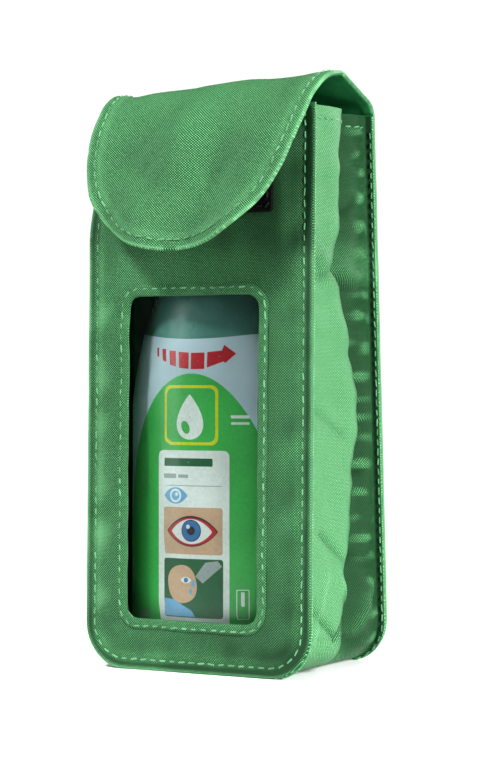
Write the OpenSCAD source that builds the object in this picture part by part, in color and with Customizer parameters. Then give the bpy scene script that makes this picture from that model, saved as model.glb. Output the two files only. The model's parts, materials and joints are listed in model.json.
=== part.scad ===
// Eyewash bottle in a sewn belt holster.
// The origin is the middle of the holster's base. +Z is up, and the window faces -Y.
// The holster is cut to fit the bottle, so its width, depth and height follow the bottle's.

/* [Bottle] */
// Width of the bottle's body
bottle_w = 66; // [52:1:82]
// Depth of the bottle's body, front to back
bottle_d = 42; // [34:1:54]
// Height of the straight body, from the foot to the shoulder
body_h = 88; // [70:1:110]
// Height of the shoulder, from the body to the neck
shoulder_h = 51; // [40:1:64]
// Radius of the neck
neck_r = 12.5; // [10:0.5:15.5]
// Height of the neck
neck_h = 10; // [8:0.5:12.5]
// Rounding at the bottle's foot
foot_r = 11; // [8.5:0.5:13.5]
// Wall of the bottle
bottle_wall = 1; // [0.8:0.1:1.3]
// Height of the solution above the bottle's foot
fill_h = 124; // [100:1:134]

/* [Cap and cup] */
// Radius of the dust cap, without its grip ribs
cap_r = 19.5; // [18.2:0.1:20.2]
// Number of grip ribs round the cap
cap_ribs = 28; // [16:1:40]
// Height of the eye cup's bowl above its floor
bowl_h = 19; // [15:0.5:23]
// Wall of the cup and the cap
cup_wall = 1.2; // [1:0.1:1.5]
// Radius of the big round cut that gives the cup's rim its saddle
saddle_r = 42; // [34:1:52]

/* [Pouch] */
// Room beside the bottle, both sides together
slack_w = 12; // [10:0.5:16]
// Room in front of and behind the bottle at the base, with the cloth
slack_base = 19; // [16:0.5:23]
// The same at the mouth
slack_mouth = 4.5; // [3:0.5:7]
// Free height over the cap, up to the back panel's top edge
head_room = 17; // [15:0.5:21]
// How far the front panel leans back at its top
front_lean_back = 3.2; // [1.6:0.2:4]
// Gap between the bottle and the nearer side of the pouch
side_gap = 2.2; // [1.8:0.1:2.6]
// Thickness of a sewn panel
cloth_t = 1; // [0.8:0.1:1.2]
// Width of the sewn edge that stands out past the gusset
seam_w = 3; // [2.5:0.1:3.6]

/* [Window] */
// Width of the window
window_w = 50; // [41:1:60]
// Height of the window
window_h = 109; // [90:1:130]
// Height of the window's lower edge above the base
window_low = 17.6; // [14:0.2:21.2]
// The window's middle, measured from the panel's middle
window_shift = -1.2; // [-1.6:0.2:1.6]
// Corner radius of the window
window_r = 4; // [3:0.5:5]
// Thickness of the clear pane
pane_t = 0.5; // [0.4:0.1:0.6]
// How far the pane runs under the panel on each side
pane_lap = 5; // [4:0.5:6]
// Width of the folded binding round the window
binding_w = 3.4; // [2.8:0.1:4]
// Thickness of the folded binding
binding_t = 0.6; // [0.5:0.1:0.8]

/* [Flap] */
// Horizontal distance from the seam to the ridge
ridge_reach = 23.5; // [20:0.5:27]
// Height of the ridge over the seam
ridge_rise = 8; // [6.6:0.2:9.6]
// Angle that the flap turns through as it wraps over the mouth
wrap_angle = 80; // [72:1:86]
// How far the tip kicks outward from the line of the wrap
tip_kick = 3; // [1:1:8]
// Length of the tip
tip_len = 36; // [30:0.5:40]
// Width of the flap where the tip begins
tip_w = 80; // [70:1:86]

/* [Closure] */
// Width of the hook and loop patches
patch_w = 58; // [48:1:64]
// Height of the loop patch
loop_patch_h = 10; // [8:0.5:24]
// Height of the hook patch
hook_patch_h = 16; // [13:0.5:18]
// Thickness of each patch
patch_t = 1.4; // [1.2:0.1:1.6]

/* [Belt loop] */
// Width of the belt loop
strap_w = 40; // [33:1:48]
// Thickness of the webbing
strap_t = 1.6; // [1.3:0.1:1.9]
// Clear depth for the belt
belt_gap = 6.5; // [5.5:0.5:7.5]
// Clear height for the belt
belt_h = 46; // [38:1:56]
// Height of each sewn end
tab_h = 12; // [10:0.5:14]
// From the back's upper edge down to the loop's upper end
strap_drop = 16.4; // [10:0.2:30]

/* [Hidden] */
$fn = 64;
bottle_sides = 40;
label_steps = 8;
seat_gap = 0.3;
fit_gap = 0.1;
hinge_gap = 0.4;
end_inset = 0.2;
film_gap = 0.2;
film_t = 0.2;
thread_w = 0.5;
thread_t = 0.3;
stitch_inset = 3.5;

nylon = "forestgreen";
thread_green = "palegreen";
film = [0.75, 0.85, 0.85, 0.3];

// Heights of the bottle's parts above the base
bottle_z = cloth_t + seat_gap;
neck_top = body_h + shoulder_h + neck_h;
insert_t = 1.2;
disc_t = 0.4;
cup_floor_z = bottle_z + neck_top + insert_t + disc_t + 2 * fit_gap;
cup_floor_t = 1.5;
cup_rim_z = cup_floor_z + cup_floor_t + bowl_h;
cap_top_t = 1.5;
cap_top_z = cup_rim_z + seat_gap + cap_top_t;

// Widths and depths of the pouch, cut to the bottle
inner_w = bottle_w + slack_w;
gusset_w = inner_w + 2 * cloth_t;
pouch_w = gusset_w + 2 * seam_w;
// The pouch's lower corners keep the same gap round the bottle's foot as its floor does
gusset_corner_r = foot_r + side_gap + cloth_t;
corner_r = gusset_corner_r + cloth_t;
depth_base = bottle_d + slack_base;
depth_mouth = bottle_d + slack_mouth;
back_h = cap_top_z + head_room;
strap_low = back_h - strap_drop - 2 * tab_h - 2 * belt_gap - belt_h;
front_h = back_h - 1.4;
gusset_front_h = back_h - 3;
gusset_back_h = back_h - 0.6;
back_lean_in = depth_base - depth_mouth - front_lean_back;
front_lean = atan(front_lean_back / back_h);
back_lean = atan(back_lean_in / back_h);
panel_lift = 0.3;

// Outer faces of the front and back panels at a height
function front_y(z) = -depth_base / 2 + z * tan(front_lean);
function back_y(z) = depth_base / 2 - z * tan(back_lean);

// The bottle stands close behind the pane, even when it is drawn up
draw = 15;
bottle_x = side_gap - slack_w / 2;
pane_back_y = front_y(bottle_z + body_h + draw) + cloth_t + pane_t;
bottle_y = pane_back_y + seat_gap + film_gap + film_t + bottle_d / 2;

// The flap in the YZ plane: the sewn seam, the ridge, and the arc over the front edge
seam_r = 1.1;
seam_y = back_y(back_h) - cloth_t / 2;
seam_z = back_h + seam_r + hinge_gap;
ridge_y = seam_y - ridge_reach;
ridge_z = seam_z + ridge_rise;
rear_len = norm([ridge_reach, ridge_rise]);
rear_angle = 180 - atan(ridge_rise / ridge_reach);
ridge_polar = 89;
ridge_dir = [cos(ridge_polar), sin(ridge_polar)];
edge_off = [front_y(front_h) - ridge_y, front_h - ridge_z];
edge_gap = cloth_t / 2 + hinge_gap;
// Radius of the arc that leaves the ridge along ridge_dir's tangent and clears the front edge
arc_r = (edge_off * edge_off - edge_gap * edge_gap) / (-2 * (edge_off * ridge_dir + edge_gap));
arc_y = ridge_y - arc_r * ridge_dir.x;
arc_z = ridge_z - arc_r * ridge_dir.y;
tip_polar = ridge_polar + wrap_angle;
tip_y = arc_y + arc_r * cos(tip_polar);
tip_z = arc_z + arc_r * sin(tip_polar);
tip_angle = tip_polar + 90 - tip_kick;
tip_round_r = (tip_w * tip_w / 4 + tip_len * tip_len) / (2 * tip_len);
hinge_clear = cloth_t / 2 + hinge_gap;
fold_r = cloth_t / 2 + 0.1;
hinge_turn = hinge_clear / arc_r * 180 / PI;
patch_start = 5;
patch_drop = 1.5;
loop_patch_low = tip_z - patch_start - hook_patch_h - patch_drop;

// ---- 2D outlines ----

// A plate that stands on its lower edge, with round corners
module plate_outline(w, h, r_foot, r_head) {
    translate([-w / 2, r_foot]) square([w, h - r_foot - r_head]);
    translate([r_foot - w / 2, 0]) square([w - 2 * r_foot, h - r_head]);
    translate([r_head - w / 2, r_foot]) square([w - 2 * r_head, h - r_foot]);
    for (side = [-1, 1]) {
        translate([side * (w / 2 - r_foot), r_foot]) circle(r_foot);
        translate([side * (w / 2 - r_head), h - r_head]) circle(r_head);
    }
}

// A line of thread that follows a plate's outline at an inset
module thread_outline(w, h, r_foot, r_head, inset) {
    difference() {
        translate([0, inset])
            plate_outline(w - 2 * inset, h - 2 * inset, max(0.8, r_foot - inset), max(0.8, r_head - inset));
        translate([0, inset + thread_w])
            plate_outline(
                w - 2 * inset - 2 * thread_w, h - 2 * inset - 2 * thread_w,
                max(0.3, r_foot - inset - thread_w), max(0.3, r_head - inset - thread_w)
            );
    }
}

module window_outline(grow) {
    translate([window_shift, window_low - grow])
        plate_outline(window_w + 2 * grow, window_h + 2 * grow, window_r + grow, window_r + grow);
}

// The gusset's outline in XZ, open at the top
module gusset_outline(inset) {
    translate([0, inset])
        plate_outline(gusset_w - 2 * inset, back_h + 20, gusset_corner_r - inset, 1);
}

// ---- frames: x, height along the panel, and distance from its outer face ----

// Distance is positive outwards
module on_front() {
    translate([0, -depth_base / 2, 0]) rotate([90 - front_lean, 0, 0]) children();
}

// Distance is positive inwards
module on_back() {
    translate([0, depth_base / 2, 0]) rotate([90 + back_lean, 0, 0]) children();
}

module on_bottle() {
    translate([bottle_x, bottle_y, bottle_z]) children();
}

// A frame on a flat stretch of the flap: x, length from the hinge, and distance inwards
module on_flap(y, z, angle) {
    translate([0, y, z]) rotate([angle, 0, 0]) children();
}

// ---- pouch ----

module front_panel() {
    color(nylon) on_front() translate([0, 0, -cloth_t]) linear_extrude(cloth_t) difference() {
        translate([0, panel_lift]) plate_outline(pouch_w, front_h / cos(front_lean) - panel_lift, corner_r, 2);
        window_outline(0);
    }
}

module window_pane() {
    color(film) on_front() translate([0, 0, -cloth_t - pane_t]) linear_extrude(pane_t) window_outline(pane_lap);
}

module window_binding() {
    color(nylon) on_front() linear_extrude(binding_t) difference() {
        window_outline(binding_w);
        window_outline(0);
    }
}

// The strip's outline seen from the side: it turns out halfway through its sewn edges
module gusset_side() {
    fold = 1.5 * cloth_t;
    polygon([
        [front_y(-1) + fold, -1],
        [back_y(-1) - fold, -1],
        [back_y(gusset_back_h) - fold, gusset_back_h],
        [front_y(gusset_front_h) + fold, gusset_front_h]
    ]);
}

// The gusset's turned-out edge behind a panel
module gusset_edge(h) {
    linear_extrude(cloth_t) difference() {
        translate([0, panel_lift]) plate_outline(pouch_w - 0.6, h - panel_lift - 1, corner_r, 1.5);
        gusset_outline(cloth_t / 2);
    }
}

module side_gusset() {
    color(nylon) {
        intersection() {
            translate([0, depth_base, 0]) rotate([90, 0, 0]) linear_extrude(2 * depth_base) difference() {
                gusset_outline(0);
                gusset_outline(cloth_t);
                translate([-pouch_w, back_h]) square([2 * pouch_w, 40]);
            }
            rotate([90, 0, 90]) translate([0, 0, -pouch_w]) linear_extrude(2 * pouch_w) gusset_side();
        }
        on_front() translate([0, 0, -2 * cloth_t]) gusset_edge(gusset_front_h);
        on_back() translate([0, 0, cloth_t]) gusset_edge(gusset_back_h);
    }
}

module back_panel() {
    color(nylon) on_back() linear_extrude(cloth_t)
        translate([0, panel_lift]) plate_outline(pouch_w, back_h / cos(back_lean) - panel_lift, corner_r, 2);
}

// Webbing that stands off the back panel, sewn down at both ends
module belt_loop() {
    ramp = belt_gap;
    high = strap_low + tab_h + ramp;
    top = high + belt_h + ramp;
    color("darkgreen") on_back() rotate([0, 90, 0]) translate([0, 0, -strap_w / 2])
        linear_extrude(strap_w) polygon([
            [0, strap_low], [0, strap_low + tab_h], [belt_gap, high], [belt_gap, high + belt_h],
            [0, top], [0, top + tab_h], [strap_t, top + tab_h], [strap_t, top + strap_t / 2],
            [belt_gap + strap_t, high + belt_h + strap_t / 2], [belt_gap + strap_t, high - strap_t / 2],
            [strap_t, strap_low + tab_h - strap_t / 2], [strap_t, strap_low]
        ]);
}

// ---- threads of the pouch ----

module front_seam_thread() {
    color(thread_green) on_front() linear_extrude(thread_t) translate([0, panel_lift])
        thread_outline(pouch_w, front_h / cos(front_lean) - panel_lift, corner_r, 2, stitch_inset);
}

module window_seam_thread() {
    grow = binding_w - 0.5;
    color(thread_green) on_front() translate([window_shift, window_low - grow, binding_t])
        linear_extrude(thread_t)
            thread_outline(window_w + 2 * grow, window_h + 2 * grow, window_r + grow, window_r + grow, 0);
}

module back_seam_thread() {
    color(thread_green) on_back() translate([0, panel_lift, -thread_t]) linear_extrude(thread_t)
        thread_outline(pouch_w, back_h / cos(back_lean) - panel_lift, corner_r, 2, stitch_inset);
}

// One straight line of thread across each side of the gusset's mouth
module mouth_hem_thread() {
    hem = 4;
    z = gusset_front_h - hem;
    y0 = front_y(z) + 2 * cloth_t + 1;
    y1 = back_y(z) - 2 * cloth_t - 1;
    color(thread_green) for (side = [0, 1]) mirror([side, 0, 0])
        translate([gusset_w / 2, y0, z]) cube([thread_t, y1 - y0, thread_w]);
}

// A sewn box on each end of the belt loop
module belt_loop_thread() {
    margin = 2;
    upper = strap_low + tab_h + 2 * belt_gap + belt_h;
    color(thread_green) for (low = [strap_low, upper])
        on_back() translate([0, low, -strap_t - thread_t]) linear_extrude(thread_t)
            thread_outline(strap_w, tab_h, 1, 1, margin);
}

module loop_patch() {
    color("#101010") on_front() translate([0, loop_patch_low, 0]) linear_extrude(patch_t)
        plate_outline(patch_w, loop_patch_h, 1, 1);
}

module loop_patch_thread() {
    color(thread_green) on_front() translate([0, loop_patch_low, patch_t]) linear_extrude(thread_t)
        thread_outline(patch_w, loop_patch_h, 1, 1, 1.5);
}

// ---- flap: three stretches of one cloth, each on its own hinge ----

// The rear stretch turns about the rolled seam on top of the back panel
module flap_rear_panel() {
    color(nylon) {
        on_flap(seam_y, seam_z, rear_angle) translate([-pouch_w / 2, 0, -cloth_t / 2])
            cube([pouch_w, rear_len - hinge_clear, cloth_t]);
        translate([0, seam_y, seam_z]) rotate([0, 90, 0])
            cylinder(r = seam_r, h = pouch_w - 2 * end_inset, center = true);
    }
}

module flap_rear_thread() {
    color(thread_green) for (side = [0, 1]) mirror([side, 0, 0])
        on_flap(seam_y, seam_z, rear_angle)
            translate([pouch_w / 2 - stitch_inset - thread_w, 2, -cloth_t / 2 - thread_t])
                cube([thread_w, rear_len - 4, thread_t]);
}

// A stretch of the wrap, between two radii and two angles, along x
module wrap_arc(r0, r1, from, to, x0, x1) {
    translate([0, arc_y, arc_z]) rotate([0, 90, 0]) rotate([0, 0, from + 90])
        rotate_extrude(angle = to - from, $fn = 180)
            translate([r0, x0]) square([r1 - r0, x1 - x0]);
}

// Width of the flap at the ridge, narrowing to the tip's width
module wrap_taper(inset, high, low) {
    polygon([
        [inset - pouch_w / 2, high], [pouch_w / 2 - inset, high], [pouch_w / 2 - inset, ridge_z],
        [tip_w / 2 - inset, tip_z + 4], [tip_w / 2 - inset, low],
        [inset - tip_w / 2, low], [inset - tip_w / 2, tip_z + 4], [inset - pouch_w / 2, ridge_z]
    ]);
}

module taper_prism(inset) {
    translate([0, depth_base, 0]) rotate([90, 0, 0]) linear_extrude(3 * depth_base)
        wrap_taper(inset, ridge_z + 10, tip_z - 20);
}

module flap_top_panel() {
    color(nylon) {
        intersection() {
            wrap_arc(
                arc_r - cloth_t / 2, arc_r + cloth_t / 2,
                ridge_polar, tip_polar - hinge_turn, -pouch_w / 2, pouch_w / 2
            );
            taper_prism(0);
        }
        translate([0, ridge_y, ridge_z]) rotate([0, 90, 0])
            cylinder(r = fold_r, h = pouch_w - 2 * end_inset, center = true);
    }
}

// Two lines of thread that follow the flap's sides
module flap_top_thread() {
    color(thread_green) intersection() {
        wrap_arc(
            arc_r + cloth_t / 2, arc_r + cloth_t / 2 + thread_t,
            ridge_polar + 2, tip_polar - 2, -pouch_w / 2, pouch_w / 2
        );
        difference() {
            taper_prism(stitch_inset);
            taper_prism(stitch_inset + thread_w);
        }
    }
}

// The tip's round outline, from its hinge down
module tip_outline(inset, start) {
    intersection() {
        translate([0, tip_len - tip_round_r]) circle(tip_round_r - inset);
        translate([-tip_w, start]) square([2 * tip_w, 2 * tip_len]);
    }
}

module flap_tip_panel() {
    color(nylon) {
        on_flap(tip_y, tip_z, tip_angle) translate([0, 0, -cloth_t / 2])
            linear_extrude(cloth_t) tip_outline(0, 0);
        translate([0, tip_y, tip_z]) rotate([0, 90, 0])
            cylinder(r = fold_r, h = tip_w - 2 * end_inset, center = true);
    }
}

module flap_tip_thread() {
    color(thread_green) on_flap(tip_y, tip_z, tip_angle) translate([0, 0, -cloth_t / 2 - thread_t])
        linear_extrude(thread_t) difference() {
            tip_outline(stitch_inset, 1.5);
            tip_outline(stitch_inset + thread_w, 1);
        }
}

module hook_patch() {
    color("#101010") on_flap(tip_y, tip_z, tip_angle) translate([0, patch_start, cloth_t / 2])
        linear_extrude(patch_t) plate_outline(patch_w - 4, hook_patch_h, 1, 1);
}

module hook_patch_thread() {
    color(thread_green) on_flap(tip_y, tip_z, tip_angle)
        translate([0, patch_start, cloth_t / 2 + patch_t]) linear_extrude(thread_t)
            thread_outline(patch_w - 4, hook_patch_h, 1, 1, 1.5);
}

// ---- bottle ----

// Half of the bottle's width or depth at a height: a rounded foot, a straight body, and a
// shoulder that curves in to the neck. power sets how long the shoulder stays full.
function half_at(z, full, neck, top, power) =
    z < foot_r ? full - foot_r + sqrt(max(0, foot_r * foot_r - (foot_r - z) * (foot_r - z))) :
    z < body_h ? full :
    z < top ? neck + (full - neck) * sqrt(max(0, 1 - pow((z - body_h) / (top - body_h), power))) :
    neck;
width_power = 1.2;
depth_power = 1.8;

// One level ring of the bottle at a height, drawn in by an inset
function ring(z, inset) =
    let (
        top = body_h + shoulder_h - inset,
        a = half_at(z, bottle_w / 2 - inset, neck_r - inset, top, width_power),
        b = half_at(z, bottle_d / 2 - inset, neck_r - inset, top, depth_power)
    )
    [for (i = [0:bottle_sides - 1]) let (t = i * 360 / bottle_sides) [a * cos(t), b * sin(t), z]];

foot_steps = [for (k = [0:6]) foot_r * (1 - cos(90 * k / 6))];
function shoulder_steps(inset) = [for (k = [0:12]) body_h + (shoulder_h - inset) * sin(90 * k / 12)];

// Faces of a stack of rings, closed at both ends
function stack_faces(rows, n) = concat(
    [[for (i = [0:n - 1]) i]],
    [for (k = [0:rows - 2], i = [0:n - 1]) let (j = (i + 1) % n) [k * n + i, (k + 1) * n + i, (k + 1) * n + j]],
    [for (k = [0:rows - 2], i = [0:n - 1]) let (j = (i + 1) % n) [k * n + i, (k + 1) * n + j, k * n + j]],
    [[for (i = [n - 1:-1:0]) (rows - 1) * n + i]]
);

module ring_stack(rings) {
    polyhedron([for (r = rings, p = r) p], stack_faces(len(rings), bottle_sides), convexity = 4);
}

// One closed skin: up the outside, over the neck's rim, and down the inside
module bottle_shell() {
    outside = concat(foot_steps, [body_h / 2], shoulder_steps(0), [neck_top]);
    inside_up = concat(
        [for (z = foot_steps) max(z, bottle_wall) + z / 20], [body_h / 2],
        shoulder_steps(bottle_wall), [neck_top]
    );
    n = len(inside_up);
    color([0.8, 0.88, 0.88, 0.4]) on_bottle() ring_stack(concat(
        [for (z = outside) ring(z, 0)],
        [for (k = [n - 1:-1:0]) ring(inside_up[k], bottle_wall)]
    ));
}

module eyewash_solution() {
    inset = bottle_wall + fit_gap;
    levels = concat(
        [for (z = foot_steps) max(z, bottle_wall) + 2 * fit_gap + z / 20], [body_h / 2],
        [for (z = shoulder_steps(inset)) if (z < fill_h) z], [fill_h]
    );
    color([0.8, 0.9, 0.95, 0.3]) on_bottle() ring_stack([for (z = levels) ring(z, inset)]);
}

// A point on a label: an angle round the bottle, a height, and a distance off its face
function label_point(t, z, off) =
    let (
        top = body_h + shoulder_h + off,
        a = half_at(z, bottle_w / 2 + off, neck_r + off, top, width_power),
        b = half_at(z, bottle_d / 2 + off, neck_r + off, top, depth_power)
    )
    [a * cos(t), b * sin(t), z];

// A label film: middle angle, heights, how far its top edge dips at the middle
module label_film(middle, low, high, dip, columns) {
    step = 360 / bottle_sides;
    rows = 14;
    n = 2 * columns + 1;
    // Half of the rows lie on the straight body, if the film reaches past it
    function row_z(k, top) =
        top <= body_h ? low + (top - low) * k / rows :
        k <= rows / 2 ? low + (body_h - low) * 2 * k / rows :
        body_h + (top - body_h) * (2 * k / rows - 1);
    function top_at(i) = high - dip * pow(cos(90 * (i - columns) / columns), 2);
    function sheet(off) = [
        for (k = [0:rows], i = [0:n - 1])
            label_point(middle + (i - columns) * step, row_z(k, top_at(i)), off)
    ];
    function at(layer, k, i) = layer * (rows + 1) * n + k * n + i;
    function quad(a, b, c, d) = [[a, c, b], [a, d, c]];
    inner = 0;
    outer = 1;
    faces = concat(
        [for (k = [0:rows - 1], i = [0:n - 2]) each quad(
            at(outer, k, i), at(outer, k, i + 1), at(outer, k + 1, i + 1), at(outer, k + 1, i))],
        [for (k = [0:rows - 1], i = [0:n - 2]) each quad(
            at(inner, k, i), at(inner, k + 1, i), at(inner, k + 1, i + 1), at(inner, k, i + 1))],
        [for (i = [0:n - 2]) each quad(
            at(inner, 0, i), at(inner, 0, i + 1), at(outer, 0, i + 1), at(outer, 0, i))],
        [for (i = [0:n - 2]) each quad(
            at(outer, rows, i), at(outer, rows, i + 1), at(inner, rows, i + 1), at(inner, rows, i))],
        [for (k = [0:rows - 1]) each quad(
            at(inner, k, 0), at(outer, k, 0), at(outer, k + 1, 0), at(inner, k + 1, 0))],
        [for (k = [0:rows - 1]) each quad(
            at(outer, k, n - 1), at(inner, k, n - 1), at(inner, k + 1, n - 1), at(outer, k + 1, n - 1))]
    );
    on_bottle() polyhedron(concat(sheet(film_gap), sheet(film_gap + film_t)), faces, convexity = 4);
}

module front_label() {
    color("green") label_film(270, foot_r + 2, body_h + 24.5, 2, label_steps);
}

module back_label() {
    color("white") label_film(90, foot_r + 6, body_h - 4, 0, label_steps - 3);
}

// A disc with a ring of small holes, plugged into the neck
module flow_insert() {
    plug_r = neck_r - bottle_wall - fit_gap;
    color("white") translate([bottle_x, bottle_y, bottle_z + neck_top]) difference() {
        union() {
            translate([0, 0, fit_gap / 2]) cylinder(r = neck_r, h = insert_t);
            translate([0, 0, 2 - neck_h]) cylinder(r = plug_r, h = neck_h - 1.5);
        }
        translate([0, 0, 1 - neck_h]) cylinder(r = plug_r - 1.5, h = neck_h - 2.5);
        for (i = [0:5]) rotate(60 * i) translate([neck_r / 2, 0, -neck_h]) cylinder(r = 0.8, h = 2 * neck_h);
        translate([0, 0, -neck_h]) cylinder(r = 1.1, h = 2 * neck_h);
    }
}

module seal_disc() {
    color("silver") translate([bottle_x, bottle_y, bottle_z + neck_top + insert_t + fit_gap])
        cylinder(r = neck_r - 2, h = disc_t);
}

collar_in_r = neck_r + fit_gap;
collar_r = collar_in_r + 1.6;
bead_r = collar_r + 1;
bowl_rim_r = cap_r - cup_wall - 0.7;
collar_low_z = bottle_z + neck_top - neck_h + 1.2;
bead_h = 1.2;

// Collar, floor with a hole for the flow, and a bowl whose rim is cut to a saddle
module eye_cup() {
    low = collar_low_z - cup_floor_z;
    bowl_low_r = collar_r + 0.4;
    color([0.85, 0.95, 0.9, 0.5]) translate([bottle_x, bottle_y, cup_floor_z]) difference() {
        rotate_extrude() polygon([
            [collar_in_r, low], [bead_r, low], [bead_r, low + bead_h], [collar_r, low + bead_h],
            [collar_r, 0], [bowl_low_r, cup_floor_t], [bowl_rim_r, cup_floor_t + bowl_h],
            [bowl_rim_r - cup_wall, cup_floor_t + bowl_h], [bowl_low_r - cup_wall, cup_floor_t + 1],
            [bowl_low_r - 2 * cup_wall, cup_floor_t], [neck_r - 4, cup_floor_t], [neck_r - 4, 0], [collar_in_r, 0]
        ]);
        translate([0, 0, cup_floor_t + bowl_h - 3 + saddle_r]) rotate([90, 0, 0])
            cylinder(r = saddle_r, h = 4 * cap_r, center = true, $fn = 128);
    }
}

ring_h = 2.6;

// The ring that stays on the collar when the cap's seal is broken
module tamper_ring() {
    color("seagreen") translate([bottle_x, bottle_y, collar_low_z + bead_h + fit_gap]) difference() {
        cylinder(r = cap_r - 0.3, h = ring_h);
        translate([0, 0, -1]) cylinder(r = collar_r + 0.2, h = ring_h + 2);
    }
}

// A round cap with grip ribs, which rests on the cup's rim
module dust_cap() {
    low = collar_low_z + bead_h + 2 * fit_gap + ring_h + 0.4;
    h = cap_top_z - low;
    rib_r = 0.6;
    color("seagreen") translate([bottle_x, bottle_y, low]) {
        difference() {
            union() {
                cylinder(r = cap_r, h = h - 1.2);
                translate([0, 0, h - 1.2]) cylinder(r1 = cap_r, r2 = cap_r - 1.2, h = 1.2);
            }
            translate([0, 0, -1]) cylinder(r = cap_r - cup_wall, h = h - cap_top_t + 1);
        }
        for (i = [0:cap_ribs - 1]) rotate(i * 360 / cap_ribs)
            translate([cap_r - 0.2, 0, 1]) cylinder(r = rib_r, h = h - 4);
    }
}

front_panel();
window_pane();
window_binding();
side_gusset();
back_panel();
belt_loop();
loop_patch();
front_seam_thread();
window_seam_thread();
back_seam_thread();
mouth_hem_thread();
belt_loop_thread();
loop_patch_thread();
flap_rear_panel();
flap_rear_thread();
flap_top_panel();
flap_top_thread();
flap_tip_panel();
flap_tip_thread();
hook_patch();
hook_patch_thread();
bottle_shell();
eyewash_solution();
front_label();
back_label();
flow_insert();
seal_disc();
eye_cup();
tamper_ring();
dust_cap();
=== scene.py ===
"""Visual model of a portable eyewash bottle in its sewn belt pouch.

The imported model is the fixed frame: every place comes from its boxes and joints. Sizes are in
millimetres and become metres when a mesh is made. Each shape is a formula of two parameters,
worked out with numpy as whole arrays.
"""

import json
import logging
import math
from collections.abc import Callable
from dataclasses import dataclass, field
from enum import Enum

import bpy
import numpy as np
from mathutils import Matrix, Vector


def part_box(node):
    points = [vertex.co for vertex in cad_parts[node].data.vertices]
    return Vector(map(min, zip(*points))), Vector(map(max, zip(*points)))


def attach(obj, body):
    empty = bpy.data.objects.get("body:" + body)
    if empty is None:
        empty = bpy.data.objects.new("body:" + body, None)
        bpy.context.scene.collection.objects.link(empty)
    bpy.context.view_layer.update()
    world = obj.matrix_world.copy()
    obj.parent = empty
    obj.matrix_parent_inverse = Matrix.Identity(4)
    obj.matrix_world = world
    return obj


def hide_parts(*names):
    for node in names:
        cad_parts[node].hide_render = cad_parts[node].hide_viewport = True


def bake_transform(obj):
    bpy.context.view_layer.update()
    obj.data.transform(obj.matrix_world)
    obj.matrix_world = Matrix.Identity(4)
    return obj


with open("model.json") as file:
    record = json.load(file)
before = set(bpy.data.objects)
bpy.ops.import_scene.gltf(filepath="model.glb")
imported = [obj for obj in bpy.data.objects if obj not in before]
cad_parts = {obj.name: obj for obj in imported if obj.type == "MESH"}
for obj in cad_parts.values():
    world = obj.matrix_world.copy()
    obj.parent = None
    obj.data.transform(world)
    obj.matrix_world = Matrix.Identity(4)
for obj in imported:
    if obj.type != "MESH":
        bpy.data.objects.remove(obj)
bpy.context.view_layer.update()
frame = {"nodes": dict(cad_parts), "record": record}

MM = 0.001
# Distances between stitches: seams, the belt loop's boxes, the patches
STITCH_PITCH = 3.75
BOX_PITCH = 3.6
PATCH_PITCH = 3.4
# Half the distance between the gusset's two sides, and the radius of its lower corners
GUSSET_HALF = 40.0
GUSSET_CORNER = 14.2
# Points in the outline of each printed shape
PRINT_POINTS = 110
LOG = logging.getLogger("eyewash_pouch")
Array = np.ndarray
Surface = Callable[[Array, Array], Array]


def box_mm(node: str) -> tuple[Array, Array]:
    """Gives a node's lowest and highest corners in millimetres.

    Args:
        node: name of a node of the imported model.

    Returns:
        The two corners.
    """
    low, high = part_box(node)
    return np.array(low, float) / MM, np.array(high, float) / MM


def joint_mm(name: str) -> Array:
    """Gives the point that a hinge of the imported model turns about, in millimetres."""
    found = [j for j in frame["record"]["behaviour"]["joints"] if j["name"] == name]
    return np.array(found[0]["pos_m"], float) / MM


# ---- shape functions ----


def ease(a: Array, low: float, high: float) -> Array:
    """Rises from 0 at low to 1 at high along 3t^2 - 2t^3."""
    t = np.clip((a - low) / (high - low), 0, 1)
    return t * t * (3 - 2 * t)


def hump(a: Array, middle: float, width: float) -> Array:
    """Gaussian of height 1: exp(-((a - middle) / width)^2)."""
    return np.exp(-(((a - middle) / width) ** 2))


def ripples(a: Array, b: Array, length: float, seed: int, count: int = 7) -> Array:
    """Smooth noise: a sum of plane waves with seeded directions, lengths and phases.

    Args:
        a: first coordinate.
        b: second coordinate.
        length: typical wavelength.
        seed: seed of the random numbers.
        count: number of waves.

    Returns:
        Values around zero, mostly from -1 to 1.
    """
    rng = np.random.default_rng(seed)
    total = np.zeros(np.broadcast(a, b).shape)
    for _ in range(count):
        turn, phase = rng.uniform(0, np.pi), rng.uniform(0, 2 * np.pi)
        wave = 2 * np.pi / (length * rng.uniform(0.7, 1.6))
        total += np.sin(wave * (a * np.cos(turn) + b * np.sin(turn)) + phase)
    return total / math.sqrt(count)


def lengths(line: Array) -> Array:
    """Gives the length along a line at each of its points, from 0: a running sum of its steps."""
    return np.concatenate([[0], np.cumsum(np.linalg.norm(np.diff(line, axis=0), axis=1))])


def points_at(line: Array, run: Array, steps: Array) -> Array:
    """Gives the points (two coordinates) of a line at the given lengths along it.

    Args:
        line: points of the line, N x 2.
        run: length along the line at each point.
        steps: wanted lengths.

    Returns:
        One point for each wanted length.
    """
    return np.stack([np.interp(steps, run, line[:, k]) for k in (0, 1)], 1)


@dataclass(frozen=True)
class Crease:
    """A soft fold along a segment: height * exp(-(distance / width)^1.5)."""

    start: tuple[float, float]
    end: tuple[float, float]
    width: float
    height: float

    def at(self, a: Array, b: Array) -> Array:
        """Gives the fold's height at each point.

        Args:
            a: first coordinate, across.
            b: second coordinate, up.

        Returns:
            The height, greatest along the segment.
        """
        da, db = self.end[0] - self.start[0], self.end[1] - self.start[1]
        pa, pb = a - self.start[0], b - self.start[1]
        t = np.clip((pa * da + pb * db) / (da * da + db * db), 0, 1)
        gap = np.hypot(pa - t * da, pb - t * db)
        return self.height * np.exp(-((gap / self.width) ** 1.5))


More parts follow.
